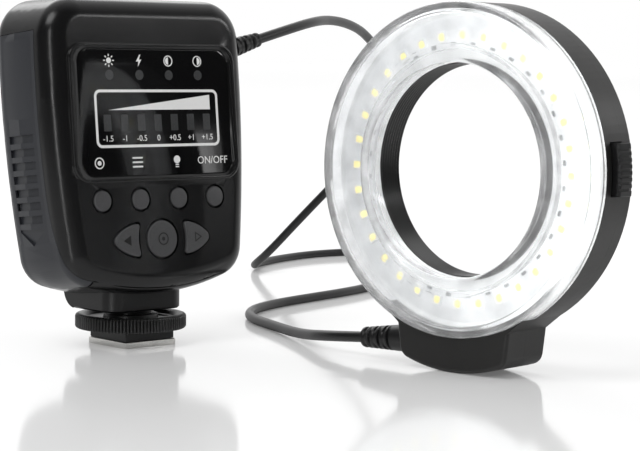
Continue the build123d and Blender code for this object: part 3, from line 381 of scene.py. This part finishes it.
# Materials
def tree_of(name, **values):
    """A new material with its shader's own sockets set, and its node tree."""
    material = bpy.data.materials.new(name)
    material.use_nodes = True
    tree = material.node_tree
    shader = tree.nodes["Principled BSDF"]
    for socket, value in values.items():
        shader.inputs[socket.replace("_", " ")].default_value = value
    return material, tree, shader


def noise(tree, scale, detail=3.0, roughness=0.5, stretch=None):
    """A noise pattern on Object coordinates; scale is in features per metre."""
    place = tree.nodes.new("ShaderNodeTexCoord")
    source = place.outputs["Object"]
    if stretch is not None:
        mapping = tree.nodes.new("ShaderNodeMapping")
        mapping.inputs["Scale"].default_value = stretch
        tree.links.new(source, mapping.inputs["Vector"])
        source = mapping.outputs["Vector"]
    pattern = tree.nodes.new("ShaderNodeTexNoise")
    pattern.inputs["Scale"].default_value = scale
    pattern.inputs["Detail"].default_value = detail
    pattern.inputs["Roughness"].default_value = roughness
    tree.links.new(source, pattern.inputs["Vector"])
    return pattern.outputs["Fac"]


def spread(tree, factor, low, high, start=0.3, end=0.7):
    """Turns a pattern's middle values into a range of numbers."""
    remap = tree.nodes.new("ShaderNodeMapRange")
    for socket, value in zip(("From Min", "From Max", "To Min", "To Max"), (start, end, low, high)):
        remap.inputs[socket].default_value = value
    tree.links.new(factor, remap.inputs["Value"])
    return remap.outputs["Result"]


def tinted(tree, factor, first, second):
    """A colour between two, by a pattern."""
    mix = tree.nodes.new("ShaderNodeMix")
    mix.data_type = "RGBA"
    mix.inputs["A"].default_value = (*first, 1)
    mix.inputs["B"].default_value = (*second, 1)
    tree.links.new(factor, mix.inputs["Factor"])
    return mix.outputs["Result"]


def bumped(tree, shader, factor, height, strength=1.0):
    """Bump from a pattern, as high as height in millimetres."""
    bump = tree.nodes.new("ShaderNodeBump")
    bump.inputs["Distance"].default_value = height * MM
    bump.inputs["Strength"].default_value = strength
    tree.links.new(factor, bump.inputs["Height"])
    tree.links.new(bump.outputs["Normal"], shader.inputs["Normal"])


def moulded(name, colour, rough, grain=3200, height=0.012, specular=0.5, vary=0.25):
    """Moulded plastic: a fine spark-eroded grain, and faint variations of gloss and colour."""
    material, tree, shader = tree_of(name, Specular_IOR_Level=specular)
    wide = noise(tree, 55, 4.0)
    tree.links.new(spread(tree, wide, rough * 0.88, rough * 1.12), shader.inputs["Roughness"])
    lighter = tuple(min(1.0, c * (1 + vary)) for c in colour)
    fine = noise(tree, grain, 2.0)
    tree.links.new(tinted(tree, spread(tree, fine, 0, 1), colour, lighter), shader.inputs["Base Color"])
    bumped(tree, shader, fine, height)
    return material


def brushed(name, colour, rough, stretch=(1, 12, 12), tone=0.75):
    """Bright metal with fine drawn lines that change its gloss and tone."""
    material, tree, shader = tree_of(name, Metallic=1.0)
    lines = noise(tree, 900, 4.0, 0.7, stretch)
    tree.links.new(spread(tree, lines, rough * 0.7, rough * 1.3), shader.inputs["Roughness"])
    darker = tuple(c * tone for c in colour)
    tree.links.new(tinted(tree, spread(tree, lines, 0, 1), colour, darker), shader.inputs["Base Color"])
    bumped(tree, shader, lines, 0.006)
    return material


def lit(name, colour, rough, glow):
    """White parts with a painted glow: an emission that stands in for the burning lights' light on them,
    stronger towards the ring's right side and patchy by a noise.
    """
    moulded(name, colour, rough, grain=900, height=0.01, vary=0.03)
    tree = bpy.data.materials[name].node_tree
    shader = tree.nodes["Principled BSDF"]
    place = tree.nodes.new("ShaderNodeTexCoord")
    side = tree.nodes.new("ShaderNodeVectorMath")
    side.operation = "DOT_PRODUCT"
    side.inputs[1].default_value = HEAD_AXES[0]
    tree.links.new(place.outputs["Object"], side.inputs[0])
    middle = float(HEAD_ORIGIN @ HEAD_AXES[0]) * MM
    reach = LIGHT_REACH * MM
    ends = (middle - 0.9 * reach, middle + reach)
    # Painted glow: the emission rises across the ring towards its right side
    strength = spread(tree, side.outputs["Value"], glow * 0.1, glow * 1.2, *ends)
    shader.inputs["Emission Color"].default_value = (1, 1, 0.98, 1)
    # Painted glow made patchy by a noise
    painted_glow_mottle = tree.nodes.new("ShaderNodeMath")
    painted_glow_mottle.operation = "MULTIPLY"
    tree.links.new(strength, painted_glow_mottle.inputs[0])
    tree.links.new(spread(tree, noise(tree, 95, 3.0), 0.55, 1.15), painted_glow_mottle.inputs[1])
    tree.links.new(painted_glow_mottle.outputs["Value"], shader.inputs["Emission Strength"])


def material_set():
    """Every finish of the flash, made once and kept by name."""
    if "Casing plastic" in bpy.data.materials:
        return bpy.data.materials
    casing = bpy.context.scene.flash_casing
    ring = bpy.context.scene.flash_ring
    cable = bpy.context.scene.flash_cable
    moulded("Casing plastic", casing.shell, 0.22, height=0.005, specular=0.4)
    moulded("Door plastic", casing.door, 0.38, specular=0.4)
    moulded("Button rubber", casing.button, 0.5, grain=2600, height=0.02, specular=0.35)
    moulded("Neck plastic", casing.shell, 0.36)
    moulded("Housing plastic", (0.011, 0.0105, 0.01), 0.42, grain=2600, height=0.018)
    moulded("Sleeve plastic", (0.006, 0.006, 0.006), 0.25, grain=1500, height=0.004)
    moulded("Tray plastic", (0.02, 0.02, 0.021), 0.45)
    moulded("Ring paint", (0.008, 0.008, 0.008), 0.34, grain=4200, height=0.01)
    moulded("Cable rubber", cable.rubber, 0.42, grain=2400, height=0.014)
    moulded("Lacquered board", (0.012, 0.09, 0.04), 0.3, grain=700)
    moulded("Chip resin", (0.012, 0.012, 0.012), 0.5)
    moulded("Pale resin", (0.3, 0.31, 0.32), 0.5)
    # Reflector and board lacquer carry a painted glow in their emission, set by the ring's glow
    lit("White reflector", (0.82, 0.83, 0.83), 0.35, ring.glow)
    lit("White lacquer", (0.78, 0.79, 0.8), 0.4, ring.glow)
    moulded("Cell wrap", (0.19, 0.2, 0.215), 0.3, grain=600, height=0.003)
    _, tree, shader = tree_of(
        "Window gloss", Specular_IOR_Level=0.4, Coat_Weight=0.2, Coat_Roughness=0.02
    )
    shader.inputs["Base Color"].default_value = (0.0035, 0.0035, 0.0038, 1)
    haze = noise(tree, 40, 3.0)
    tree.links.new(spread(tree, haze, 0.05, 0.1), shader.inputs["Roughness"])
    moulded("Print ink", casing.ink, 0.22, grain=5000, height=0.003, vary=0.04)
    moulded("Smoked light guide", (0.035, 0.036, 0.037), 0.2, grain=1800, height=0.004)
    moulded("Engraved mark", (0.004, 0.004, 0.004), 0.6)
    brushed("Bright steel", (0.95, 0.94, 0.91), 0.16, tone=0.88)
    brushed("Screw steel", (0.42, 0.42, 0.43), 0.3)
    brushed("Plated contact", (0.7, 0.68, 0.64), 0.22)
    brushed("Gold contact", (0.72, 0.52, 0.2), 0.25)
    brushed("Capacitor can", (0.62, 0.62, 0.64), 0.3)
    _, tree, shader = tree_of("Light phosphor", Roughness=0.35)
    grains = noise(tree, 2600, 2.0)
    tree.links.new(tinted(tree, grains, (0.85, 0.72, 0.2), (0.95, 0.86, 0.4)), shader.inputs["Base Color"])
    shader.inputs["Emission Color"].default_value = (1.0, 0.9, 0.4, 1)
    shader.inputs["Emission Strength"].default_value = ring.glow
    _, tree, shader = tree_of("Clear cover", Transmission_Weight=0.93, IOR=1.42, Specular_IOR_Level=0.5)
    shader.inputs["Base Color"].default_value = (*ring.cover, 1)
    frost_and_glow = noise(tree, 170, 4.0)
    tree.links.new(spread(tree, frost_and_glow, 0.12, 0.26), shader.inputs["Roughness"])
    bumped(tree, shader, noise(tree, 420, 2.0), 0.02, 0.4)
    # Painted glow: a faint emission, patchy by the frost noise, stands in for the lights' light inside the
    # cover
    shader.inputs["Emission Color"].default_value = (1, 1, 1, 1)
    tree.links.new(spread(tree, frost_and_glow, 0.0, 0.09), shader.inputs["Emission Strength"])
    return bpy.data.materials


class FLASH_OT_casing(bpy.types.Operator):
    """Finish the unit's casing, battery door, neck and screws"""

    bl_idname = "flash.casing"
    bl_label = "Casing"

    def execute(self, context):
        stuff = material_set()
        for node in ("front_shell", "rear_shell"):
            smoothed(node, stuff["Casing plastic"])
        smoothed("battery_door", stuff["Door plastic"], crease=2)
        for node in ("neck_block", "neck_heel", "mount_collar"):
            smoothed(node, stuff["Neck plastic"], bevel=0.25)
        for node in ("case_screws", "board_screws", "door_hinge_pin"):
            paint(node, stuff["Screw steel"])
        return {"FINISHED"}


class FLASH_OT_inside(bpy.types.Operator):
    """Finish the circuit board, its parts, the battery tray and the cells"""

    bl_idname = "flash.inside"
    bl_label = "Inside"

    def execute(self, context):
        stuff = material_set()
        paint("circuit_board", stuff["Lacquered board"])
        for node in ("tact_switches", "controller_chip", "boost_inductor"):
            paint(node, stuff["Chip resin"])
        paint("storage_capacitor", stuff["Capacitor can"])
        paint("battery_tray", stuff["Tray plastic"])
        for node in ("tray_contacts", "door_contacts"):
            paint(node, stuff["Plated contact"])
        for i in range(4):
            smoothed(f"aa_cell_{i + 1}", stuff["Cell wrap"])
        return {"FINISHED"}


def text_shape(words, height, x, y, low, high):
    """A short text as a flat solid, centred on (x, y): its letters' outlines at two levels."""
    curve = bpy.data.curves.new("words", "FONT")
    curve.body = words
    curve.size = height
    curve.align_x = "CENTER"
    curve.align_y = "CENTER"
    curve.extrude = abs(high - low) / 2
    curve.resolution_u = 3
    holder = bpy.data.objects.new("words", curve)
    bpy.context.scene.collection.objects.link(holder)
    bpy.context.view_layer.update()
    mesh = bpy.data.meshes.new_from_object(holder.evaluated_get(bpy.context.evaluated_depsgraph_get()))
    points = np.zeros(len(mesh.vertices) * 3)
    mesh.vertices.foreach_get("co", points)
    points = points.reshape(-1, 3) + (x, y, (low + high) / 2)
    faces = [list(polygon.vertices) for polygon in mesh.polygons]
    bpy.data.objects.remove(holder)
    bpy.data.meshes.remove(mesh)
    bpy.data.curves.remove(curve)
    return points, faces


def on_face(face):
    """Placing of flat shapes on the unit's front: (x, w, h) stands h in front of depth face."""
    def place(points):
        x, w, h = np.asarray(points, float).T
        return unit_space(np.stack([x, face - h, w], axis=-1))
    return place


class FLASH_OT_display(bpy.types.Operator):
    """Glossy window with its printed scale, signs, light dots and level bars"""

    bl_idname = "flash.display"
    bl_label = "Display"

    def execute(self, context):
        stuff = material_set()
        smoothed("display_window", stuff["Window gloss"])
        width, height = FRAME
        outer = rounded(width, height, 2.0, *FRAME_CENTRE)
        inner = rounded(width - 2 * FRAME_LINE, height - 2 * FRAME_LINE, 1.3, *FRAME_CENTRE)
        bar_x = [BAR_CENTRE[0] + BAR_PITCH * (i - 3) for i in range(len(NUMBERS))]
        shapes = [printed(band, outer, inner), printed(slab, WEDGE)]
        for number, x in zip(NUMBERS, bar_x):
            shapes.append(printed(text_shape, number, 2.5, x, NUMBER_LEVEL))
        shapes.append(printed(text_shape, "ON/OFF", 3.2, LABEL_X[3], LABEL_LEVEL))
        shapes += display_signs()
        piece("display_print", joined(*shapes), on_face(WINDOW_FACE), stuff["Print ink"], "body", crease=30)
        dots = [printed(slab, circle(1.5, x, LIGHT_LEVEL, 32)) for x in LIGHT_X]
        bars = [printed(slab, rounded(*BAR, 0.25, x, BAR_CENTRE[1], 3)) for x in bar_x]
        piece(
            "light_guides", joined(*dots, *bars), on_face(WINDOW_FACE), stuff["Smoked light guide"], "body",
            ("status_lights", "level_bars"), crease=30,
        )
        return {"FINISHED"}


def printed(form, *shape):
    """A flat form as thick as the print: from the window's face to one print's thickness over it."""
    return form(*shape, 0.0, PRINT_THICK)


def display_signs():
    """Plain signs: a lamp with rays, a bolt, two half discs, a target, three lines and a small lamp."""
    x, y = LIGHT_X[0], SIGN_LEVEL
    shapes = [printed(slab, circle(0.85, x, y, 20))]
    for angle in np.radians(np.arange(0, 360, 45)):
        along = np.array([np.cos(angle), np.sin(angle)])
        across = np.array([-along[1], along[0]]) * 0.16
        ends = [along * 1.25 - across, along * 1.9 - across, along * 1.9 + across, along * 1.25 + across]
        shapes.append(printed(slab, [(x + e[0], y + e[1]) for e in ends]))
    bolt = [(0.35, 1.8), (-1.0, -0.25), (-0.1, -0.25), (-0.4, -1.8), (1.0, 0.35), (0.1, 0.35), (0.75, 1.8)]
    shapes.append(printed(slab, [(px + LIGHT_X[1], py + y) for px, py in bolt]))
    for x, start in ((LIGHT_X[2], 90.0), (LIGHT_X[3], 270.0)):
        shapes.append(printed(band, circle(1.65, x, y, 32), circle(1.35, x, y, 32)))
        shapes.append(printed(slab, circle(1.1, x, y, 16, start, 180.0)))
    target, lines, bulb, _ = LABEL_X
    y = LABEL_LEVEL
    shapes.append(printed(band, circle(1.7, target, y, 32), circle(1.35, target, y, 32)))
    shapes.append(printed(slab, circle(0.7, target, y, 20)))
    for row in (-1.3, 0, 1.3):
        shapes.append(printed(slab, rounded(3.8, 0.5, 0.2, lines, y + row, 3)))
    shapes.append(printed(slab, circle(1.2, bulb, y + 0.5, 24)))
    for row in (-1.0, -1.65):
        shapes.append(printed(slab, rounded(1.3, 0.36, 0.15, bulb, y + row, 3)))
    return shapes


class FLASH_OT_buttons(bpy.types.Operator):
    """Round buttons with a soft crown, and the two pointed ones with their marks"""

    bl_idname = "flash.buttons"
    bl_label = "Buttons"

    def execute(self, context):
        stuff = material_set()
        for name, x in zip(BUTTON_NAMES, BUTTON_X):
            points, faces = turned(button_profile(BUTTON_RADIUS, 0.22), 56, closed=False)
            cap = (points + (x, BUTTON_LEVEL, 0), faces)
            piece(f"{name}_cap", cap, on_face(0), stuff["Button rubber"], name, (name,))
        points, faces = turned(button_profile(NAV_RADIUS, 0.3), 72, closed=False)
        cap = (points + (0, NAV_LEVEL, 0), faces)
        name = "centre_button"
        piece(f"{name}_cap", cap, on_face(0), stuff["Button rubber"], name, (name,))
        low, high = BUTTON_TOP - 0.1, BUTTON_TOP + 0.01
        ring = band(circle(1.9, 0, NAV_LEVEL, 40), circle(1.5, 0, NAV_LEVEL, 40), low, high)
        dot = slab(circle(0.6, 0, NAV_LEVEL, 20), low, high)
        piece(f"{name}_mark", joined(ring, dot), on_face(0), stuff["Engraved mark"], name)
        for name, side in (("left_button", -1), ("right_button", 1)):
            smoothed(name, stuff["Button rubber"], crease=32)
            low, high = BUTTON_TOP - 0.05, BUTTON_TOP + 0.03
            tip, hole = (
                [(side * end, NAV_LEVEL), (side * base, NAV_LEVEL + half), (side * base, NAV_LEVEL - half)]
                for end, base, half in ((14.6, 11.9, 1.55), (13.9, 12.25, 0.95))
            )
            mark = band(tip, hole, low, high) if side > 0 else slab(tip, low, high)
            piece(f"{name}_mark", mark, on_face(0), stuff["Engraved mark"], name)
        return {"FINISHED"}


def button_profile(radius, crown):
    """Side view of a round button, from its flange to a crown that rises as a parabola."""
    turn = np.linspace(0, np.pi / 2, 7)
    top = BUTTON_TOP - crown
    flat = radius - BUTTON_EDGE
    wall = [(flat + BUTTON_EDGE * np.cos(a), top - BUTTON_EDGE + BUTTON_EDGE * np.sin(a)) for a in turn]
    crowned = [(r, top + crown * (1 - (r / flat) ** 2)) for r in np.linspace(flat, 0, 9)[1:]]
    low, high = FLANGE
    lip = radius + FLANGE_LIP
    return [(0, low), (lip, low), (lip, high), (radius, high)] + wall + crowned


class FLASH_OT_foot(bpy.types.Operator):
    """Knurled lock ring, clamp plate, foot plate and its screws and contact"""

    bl_idname = "flash.foot"
    bl_label = "Foot"

    def execute(self, context):
        stuff = material_set()
        settings = context.scene.flash_foot
        shape = knurled_ring(settings.radius, settings.knurls, settings.depth)
        paint_black = stuff["Ring paint"]
        piece("lock_ring_knurled", shape, row_space, paint_black, "lock_ring", ("lock_ring",), crease=40)
        smoothed("clamp_plate", paint_black, bevel=0.25)
        smoothed("foot_plate", stuff["Bright steel"], bevel=0.18)
        paint("foot_screws", stuff["Screw steel"])
        paint("sync_contact", stuff["Gold contact"])
        return {"FINISHED"}


def knurled_ring(radius, knurls, depth):
    """The lock ring: rows round the z axis, where the rim's radius drops in a narrow groove between
    ridges, and the top's height drops into a dish and into two long pockets."""
    steps = knurls * 8
    a = np.linspace(0, 2 * np.pi, steps, endpoint=False)
    phase = (a * knurls / (2 * np.pi)) % 1.0
    groove = np.exp(-(((phase - 0.5) / 0.17) ** 2)) * depth
    rows = []

    def add_row(r, z):
        rows.append(np.stack([r * np.cos(a), r * np.sin(a), z + 0 * a], axis=-1))

    for inset, z, share in (
        (1.2, RING_BOTTOM, 0), (0.5, 5.05, 0.6), (0.12, 5.35, 1), (0, 5.7, 1), (0, 8.5, 1), (0.12, 8.9, 1),
        (0.45, 9.22, 0.8), (1.0, 9.38, 0.3), (1.6, RING_TOP, 0), (2.4, 9.36, 0), (2.9, 8.9, 0),
    ):
        add_row(radius - inset - groove * share, z)
    for r in np.linspace(radius - 3.3, 8.4, 20):
        across = (np.abs(np.cos(a)) * r - 11.0) / 1.3
        along = np.sin(a) * r / 2.9
        add_row(r, DISH_LEVEL - POCKET_DEEP / (1 + (across**4 + along**4) ** 2))
    for r, z in ((8.1, 9.3), (7.9, RING_TOP), (STEM_RADIUS, RING_TOP), (STEM_RADIUS, RING_BOTTOM)):
        add_row(r, z)
    return grid(np.stack(rows), wrap_rows=True, wrap_columns=True)


class FLASH_OT_housing(bpy.types.Operator):
    """Ring housing, rear cover, lens sleeve and release buttons"""

    bl_idname = "flash.housing"
    bl_label = "Ring housing"

    def execute(self, context):
        stuff = material_set()
        for node in ("head_front_housing", "head_rear_cover"):
            smoothed(node, stuff["Housing plastic"], bevel=0.2)
        for node in ("left_release_button", "right_release_button"):
            smoothed(node, stuff["Casing plastic"], bevel=0.15)
        for node in ("left_release_slide", "right_release_slide", "head_screws"):
            paint(node, stuff["Screw steel"])
        sleeve = stuff["Sleeve plastic"]
        piece("lens_sleeve", lens_sleeve(), head_space, sleeve, "body", ("inner_barrel",), crease=30)
        return {"FINISHED"}


def lens_sleeve():
    """A turned sleeve of radius 29.6 to 31: its bore is lowered by a bell curve at each fine groove."""
    rear, front = SLEEVE_SPAN
    grooves = np.linspace(rear + 0.8, front - 0.8, SLEEVE_GROOVES)
    depth = np.linspace(front - 0.05, rear + 0.05, 100)
    nearest = np.abs(depth[:, None] - grooves).min(axis=1)
    bore = SLEEVE_BORE + 0.4 * np.exp(-((nearest / 0.2) ** 2))
    mouth = SLEEVE_BORE + 0.1
    ends = [(mouth, rear), (SLEEVE_RADIUS, rear), (SLEEVE_RADIUS, front), (mouth, front)]
    return turned([*zip(bore, depth), *ends], 240)


class FLASH_OT_lights(bpy.types.Operator):
    """White reflector, light board, chips and their small resistors"""

    bl_idname = "flash.lights"
    bl_label = "Lights"

    def execute(self, context):
        stuff = material_set()
        ring = context.scene.flash_ring
        angles = 2 * np.pi * np.arange(ring.lights) / ring.lights
        white = stuff["White reflector"]
        inner = SLEEVE_RADIUS + 0.05
        tray = [(inner, 0.0), (43.0, 0.0), (44.4, 0.2), (44.45, 1.7), (44.0, 1.7), (43.0, 0.85), (inner, 0.85)]
        piece("reflector_tray", turned(tray, 240), head_space, white, "body", ("reflector",))
        board = [
            (33.9, 0.82), (42.5, 0.82), (42.6, 0.95), (42.6, 1.7), (42.5, BOARD_FACE), (34.0, BOARD_FACE),
            (33.9, 1.7),
        ]
        piece("light_board", turned(board, 240), head_space, stuff["White lacquer"], "body", ("led_board",))
        body = light_body(3.5, 2.8)
        lens = light_lens(1.15)
        out = np.array([ring.light_radius, 0, 0])
        bodies = repeated((body[0] + out, body[1]), angles)
        lenses = repeated((lens[0] + out, lens[1]), angles)
        piece("light_bodies", bodies, head_space, white, "body", ("led_chips",))
        piece("light_lenses", lenses, head_space, stuff["Light phosphor"], "body", ("led_chips",))
        part = slab(rounded(0.8, 1.5, 0.1, 34.75, 0, 2), BOARD_FACE, BOARD_FACE + 0.4)
        between = repeated(part, angles + np.pi / ring.lights)
        piece("board_resistors", between, head_space, stuff["Pale resin"], "body")
        return {"FINISHED"}


def light_body(length, width):
    """One light's white package: a rounded rectangle in five levels that draws in to a shallow bowl."""
    levels = (
        (BOARD_FACE, 1.0, 1.0), (2.5, 1.0, 1.0), (2.62, 0.95, 0.94), (2.62, 0.78, 0.76), (2.35, 0.66, 0.64),
    )
    loops = []
    for z, sx, sy in levels:
        loop = rounded(length, width, 0.35, steps=4) * (sx, sy)
        loops.append(np.c_[loop, np.full(len(loop), z)])
    points = np.stack(loops)
    shape = grid(points, wrap_columns=True)
    count = points.shape[1]
    last = (len(levels) - 1) * count
    caps = [list(range(count))[::-1], list(range(last, last + count))]
    return shape[0], shape[1] + caps


def light_lens(radius):
    """One light's yellow window: a low dome z = z0 + h (1 - (r / radius) squared)."""
    r = np.linspace(radius, 0, 6)
    dome = [(q, 2.36 + 0.3 * (1 - (q / radius) ** 2)) for q in r]
    return turned([(0, 2.3)] + [(radius, 2.3)] + dome, 24, closed=False)


class FLASH_OT_cover(bpy.types.Operator):
    """Clear cover over the lights, with its raised rim and clips"""

    bl_idname = "flash.cover"
    bl_label = "Clear cover"

    def execute(self, context):
        stuff = material_set()
        profile = [
            (44.7, 0.02), (46.4, 0.02), (HOUSING_REACH, 0.15), (HOUSING_REACH, 6.9), (46.36, 7.35),
            (46.1, 7.72), (45.7, 7.95), (45.3, 8.0), (44.1, 8.0), (43.8, 7.92), (43.6, 7.72),
            (43.5, 7.4), (43.3, 7.16), (43.0, 7.1), (35.4, 7.1), (35.1, 7.16), (34.9, 7.34),
            (34.6, 7.42), (31.0, 7.42), (30.4, 7.3), (30.05, 7.0), (29.85, 6.5), (29.85, 1.75),
            (29.95, 1.65), (33.4, 1.65), (33.5, 1.75), (33.5, 5.5), (44.6, 5.5), (44.7, 5.4),
        ]
        clear = stuff["Clear cover"]
        piece("clear_cover", turned(profile, 288), head_space, clear, "body", ("diffuser",), crease=30)
        return {"FINISHED"}


class FLASH_OT_cable(bpy.types.Operator):
    """The cable, on its smooth route, and a ribbed boot at each end"""

    bl_idname = "flash.cable"
    bl_label = "Cable"

    def execute(self, context):
        stuff = material_set()
        settings = context.scene.flash_cable
        first = (ROUTE[1] - ROUTE[0]) / np.linalg.norm(ROUTE[1] - ROUTE[0])
        last = (ROUTE[-2] - ROUTE[-1]) / np.linalg.norm(ROUTE[-2] - ROUTE[-1])
        for name, node, tip, lead, length, root, end in (
            ("unit_boot", "unit_cable_boot", ROUTE[0], first, 18.5, 3.6, 2.3),
            ("head_boot", "head_cable_boot", ROUTE[-1], last, 16.8, 4.1, 3.0),
        ):
            shape = ribbed_boot(tip, lead, length, root, end, settings.ribs, settings.radius)
            piece(name, shape, row_space, stuff["Cable rubber"], "body", (node,), crease=50)
        curve = bpy.data.curves.new("cable_line", "CURVE")
        curve.dimensions = "3D"
        spline = curve.splines.new("NURBS")
        spline.points.add(len(ROUTE) - 1)
        spline.points.foreach_set("co", np.c_[ROUTE * MM, np.ones(len(ROUTE))].ravel())
        spline.order_u = 3
        spline.use_endpoint_u = True
        spline.resolution_u = 12
        curve.bevel_depth = settings.radius * MM
        curve.bevel_resolution = 6
        curve.use_fill_caps = True
        curve.materials.append(stuff["Cable rubber"])
        cable = bpy.data.objects.new("cable_line", curve)
        context.scene.collection.objects.link(cable)
        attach(cable, "body")
        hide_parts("cable")
        return {"FINISHED"}


def ribbed_boot(tip, lead, length, root, end, ribs, bore):
    """A tapered boot: along its axis the radius falls evenly, rises by a lip at each rib, and each
    gap between ribs is deeper on alternate sides; the end closes on the cable."""
    side = np.cross(lead, (0, 0, 1.0))
    side /= np.linalg.norm(side)
    up = np.cross(side, lead)
    a = np.linspace(0, 2 * np.pi, 48, endpoint=False)
    share = np.linspace(0, 1, 12 * ribs + 1)
    taper = root + (end - root) * share
    start = 0.3
    phase = np.clip((share - start) / (0.97 - start), 0, 1) * ribs
    wave = np.cos(2 * np.pi * phase)
    gap = np.clip((0.25 - wave) / 0.5, 0, 1) * (share > start)
    order = np.floor(phase + 1e-6)
    lobes = 0.55 + 0.45 * np.cos(2 * a[None, :] + np.pi * order[:, None])
    radius = taper[:, None] - 0.75 * gap[:, None] * lobes
    radius = np.concatenate([radius, np.full((1, 48), end - 0.35), np.full((1, 48), bore * 0.9)])
    along = np.concatenate([share, [1.0, 1.0]]) * length - length
    radius[-3] = end - 0.05
    ring = np.cos(a)[:, None] * side + np.sin(a)[:, None] * up
    points = tip + along[:, None, None] * lead + radius[:, :, None] * ring
    shape = grid(points, wrap_columns=True)
    count = len(a)
    final = (points.shape[0] - 1) * count
    caps = [list(range(count)), list(range(final, final + count))]
    return shape[0], shape[1] + caps


class FLASH_OT_stage(bpy.types.Operator):
    """Pale glossy floor, soft lamps, white surroundings and the camera"""

    bl_idname = "flash.stage"
    bl_label = "Stage"

    def execute(self, context):
        settings = context.scene.flash_stage
        scene = context.scene
        scene.view_settings.view_transform = "Standard"
        floor_mesh = bpy.data.meshes.new("floor")
        corners = [(sx * FLOOR_REACH, sy * FLOOR_REACH, 0) for sx, sy in ((-1, -1), (1, -1), (1, 1), (-1, 1))]
        floor_mesh.from_pydata(corners, [], [(0, 1, 2, 3)])
        material, tree, shader = tree_of("Pale floor", Roughness=0.1, IOR=1.45)
        shader.inputs["Base Color"].default_value = (*settings.floor, 1)
        path = tree.nodes.new("ShaderNodeLightPath")
        shader.inputs["Emission Color"].default_value = (1, 1, 1, 1)
        lift = tree.nodes.new("ShaderNodeMath")
        lift.operation = "MULTIPLY"
        lift.inputs[1].default_value = 0.12
        tree.links.new(path.outputs["Is Camera Ray"], lift.inputs[0])
        tree.links.new(lift.outputs["Value"], shader.inputs["Emission Strength"])
        floor_mesh.materials.append(material)
        floor = bpy.data.objects.new("floor", floor_mesh)
        scene.collection.objects.link(floor)
        surroundings(settings.sky)
        for name, place, target, size, share in LAMPS:
            lamp(name, place, Vector(target), size, settings.key * share)
        right, up, away = camera_axes()
        data = bpy.data.cameras.new("camera")
        data.sensor_width = 36.0
        data.lens = PHOTO_FOCUS / PHOTO_WIDTH * data.sensor_width
        data.clip_end = 200.0
        camera = bpy.data.objects.new("camera", data)
        camera.matrix_world = Matrix.Translation(CAMERA_PLACE) @ Matrix(
            [[right[i], up[i], -away[i], 0] for i in range(3)] + [[0, 0, 0, 1]]
        )
        scene.collection.objects.link(camera)
        scene.camera = camera
        return {"FINISHED"}


def camera_axes():
    """Right, up and forward of the camera: its direction, and a small roll about it."""
    away = np.array(CAMERA_DIRECTION) / np.linalg.norm(CAMERA_DIRECTION)
    right = np.cross(away, (0, 0, 1.0))
    right /= np.linalg.norm(right)
    up = np.cross(right, away)
    roll = np.radians(CAMERA_ROLL)
    return right * np.cos(roll) + up * np.sin(roll), up * np.cos(roll) - right * np.sin(roll), away


def lamp(name, place, target, size, power):
    """A soft rectangular lamp that faces a point."""
    data = bpy.data.lights.new(name, "AREA")
    data.shape = "RECTANGLE"
    data.size, data.size_y = size
    data.energy = power
    holder = bpy.data.objects.new(name, data)
    holder.location = place
    holder.rotation_euler = (target - Vector(place)).to_track_quat("-Z", "Y").to_euler()
    bpy.context.scene.collection.objects.link(holder)


def surroundings(level):
    """White to the eye, in glass and behind the object in gloss; a softer grey as light."""
    world = bpy.data.worlds.new("Surroundings")
    bpy.context.scene.world = world
    world.use_nodes = True
    tree = world.node_tree
    light = tree.nodes["Background"]
    light.inputs["Color"].default_value = (1, 1, 1, 1)
    path = tree.nodes.new("ShaderNodeLightPath")
    place = tree.nodes.new("ShaderNodeTexCoord")
    dot = tree.nodes.new("ShaderNodeVectorMath")
    dot.operation = "DOT_PRODUCT"
    dot.inputs[1].default_value = BRIGHT_SIDE
    tree.links.new(place.outputs["Generated"], dot.inputs[0])
    behind = spread(tree, dot.outputs["Value"], 0.03, 1.0, 0.0, 0.75)

    def pick(flag, value, other):
        mix = tree.nodes.new("ShaderNodeMix")
        for source, socket in ((flag, "Factor"), (value, "B"), (other, "A")):
            if isinstance(source, float):
                mix.inputs[socket].default_value = source
            else:
                tree.links.new(source, mix.inputs[socket])
        return mix.outputs["Result"]

    strength = pick(path.outputs["Is Glossy Ray"], behind, float(level))
    strength = pick(path.outputs["Is Transmission Ray"], 1.0, strength)
    strength = pick(path.outputs["Is Camera Ray"], 1.0, strength)
    tree.links.new(strength, light.inputs["Strength"])


class FLASH_PT_pieces(bpy.types.Panel):
    """The pieces of the flash, in the sidebar"""

    bl_label = "Ring flash"
    bl_idname = "FLASH_PT_pieces"
    bl_space_type = "VIEW_3D"
    bl_region_type = "UI"
    bl_category = "Ring flash"

    def draw(self, context):
        layout = self.layout
        for name, settings in SETTINGS.items():
            group = getattr(context.scene, name)
            box = layout.box()
            box.label(text=settings.__doc__)
            for field in settings.__annotations__:
                box.prop(group, field)
        for operator in OPERATORS:
            layout.operator(operator.bl_idname)


SETTINGS = {
    "flash_casing": CasingSettings,
    "flash_foot": FootSettings,
    "flash_ring": RingSettings,
    "flash_cable": CableSettings,
    "flash_stage": StageSettings,
}
OPERATORS = (
    FLASH_OT_stage,
    FLASH_OT_cable,
    FLASH_OT_casing,
    FLASH_OT_inside,
    FLASH_OT_display,
    FLASH_OT_buttons,
    FLASH_OT_foot,
    FLASH_OT_housing,
    FLASH_OT_lights,
    FLASH_OT_cover,
)


def register():
    """Registers the classes and hangs the settings on the scene."""
    for item in (*SETTINGS.values(), *OPERATORS, FLASH_PT_pieces):
        bpy.utils.register_class(item)
    for name, settings in SETTINGS.items():
        setattr(bpy.types.Scene, name, PointerProperty(type=settings))


def unregister():
    """Takes the settings and the classes away again."""
    for name in SETTINGS:
        delattr(bpy.types.Scene, name)
    for item in (FLASH_PT_pieces, *reversed(OPERATORS), *SETTINGS.values()):
        bpy.utils.unregister_class(item)


def main():
    """Registers the classes and runs every operator in order."""
    register()
    for operator in OPERATORS:
        group, name = operator.bl_idname.split(".")
        getattr(getattr(bpy.ops, group), name)()


if __name__ == "__main__":
    main()
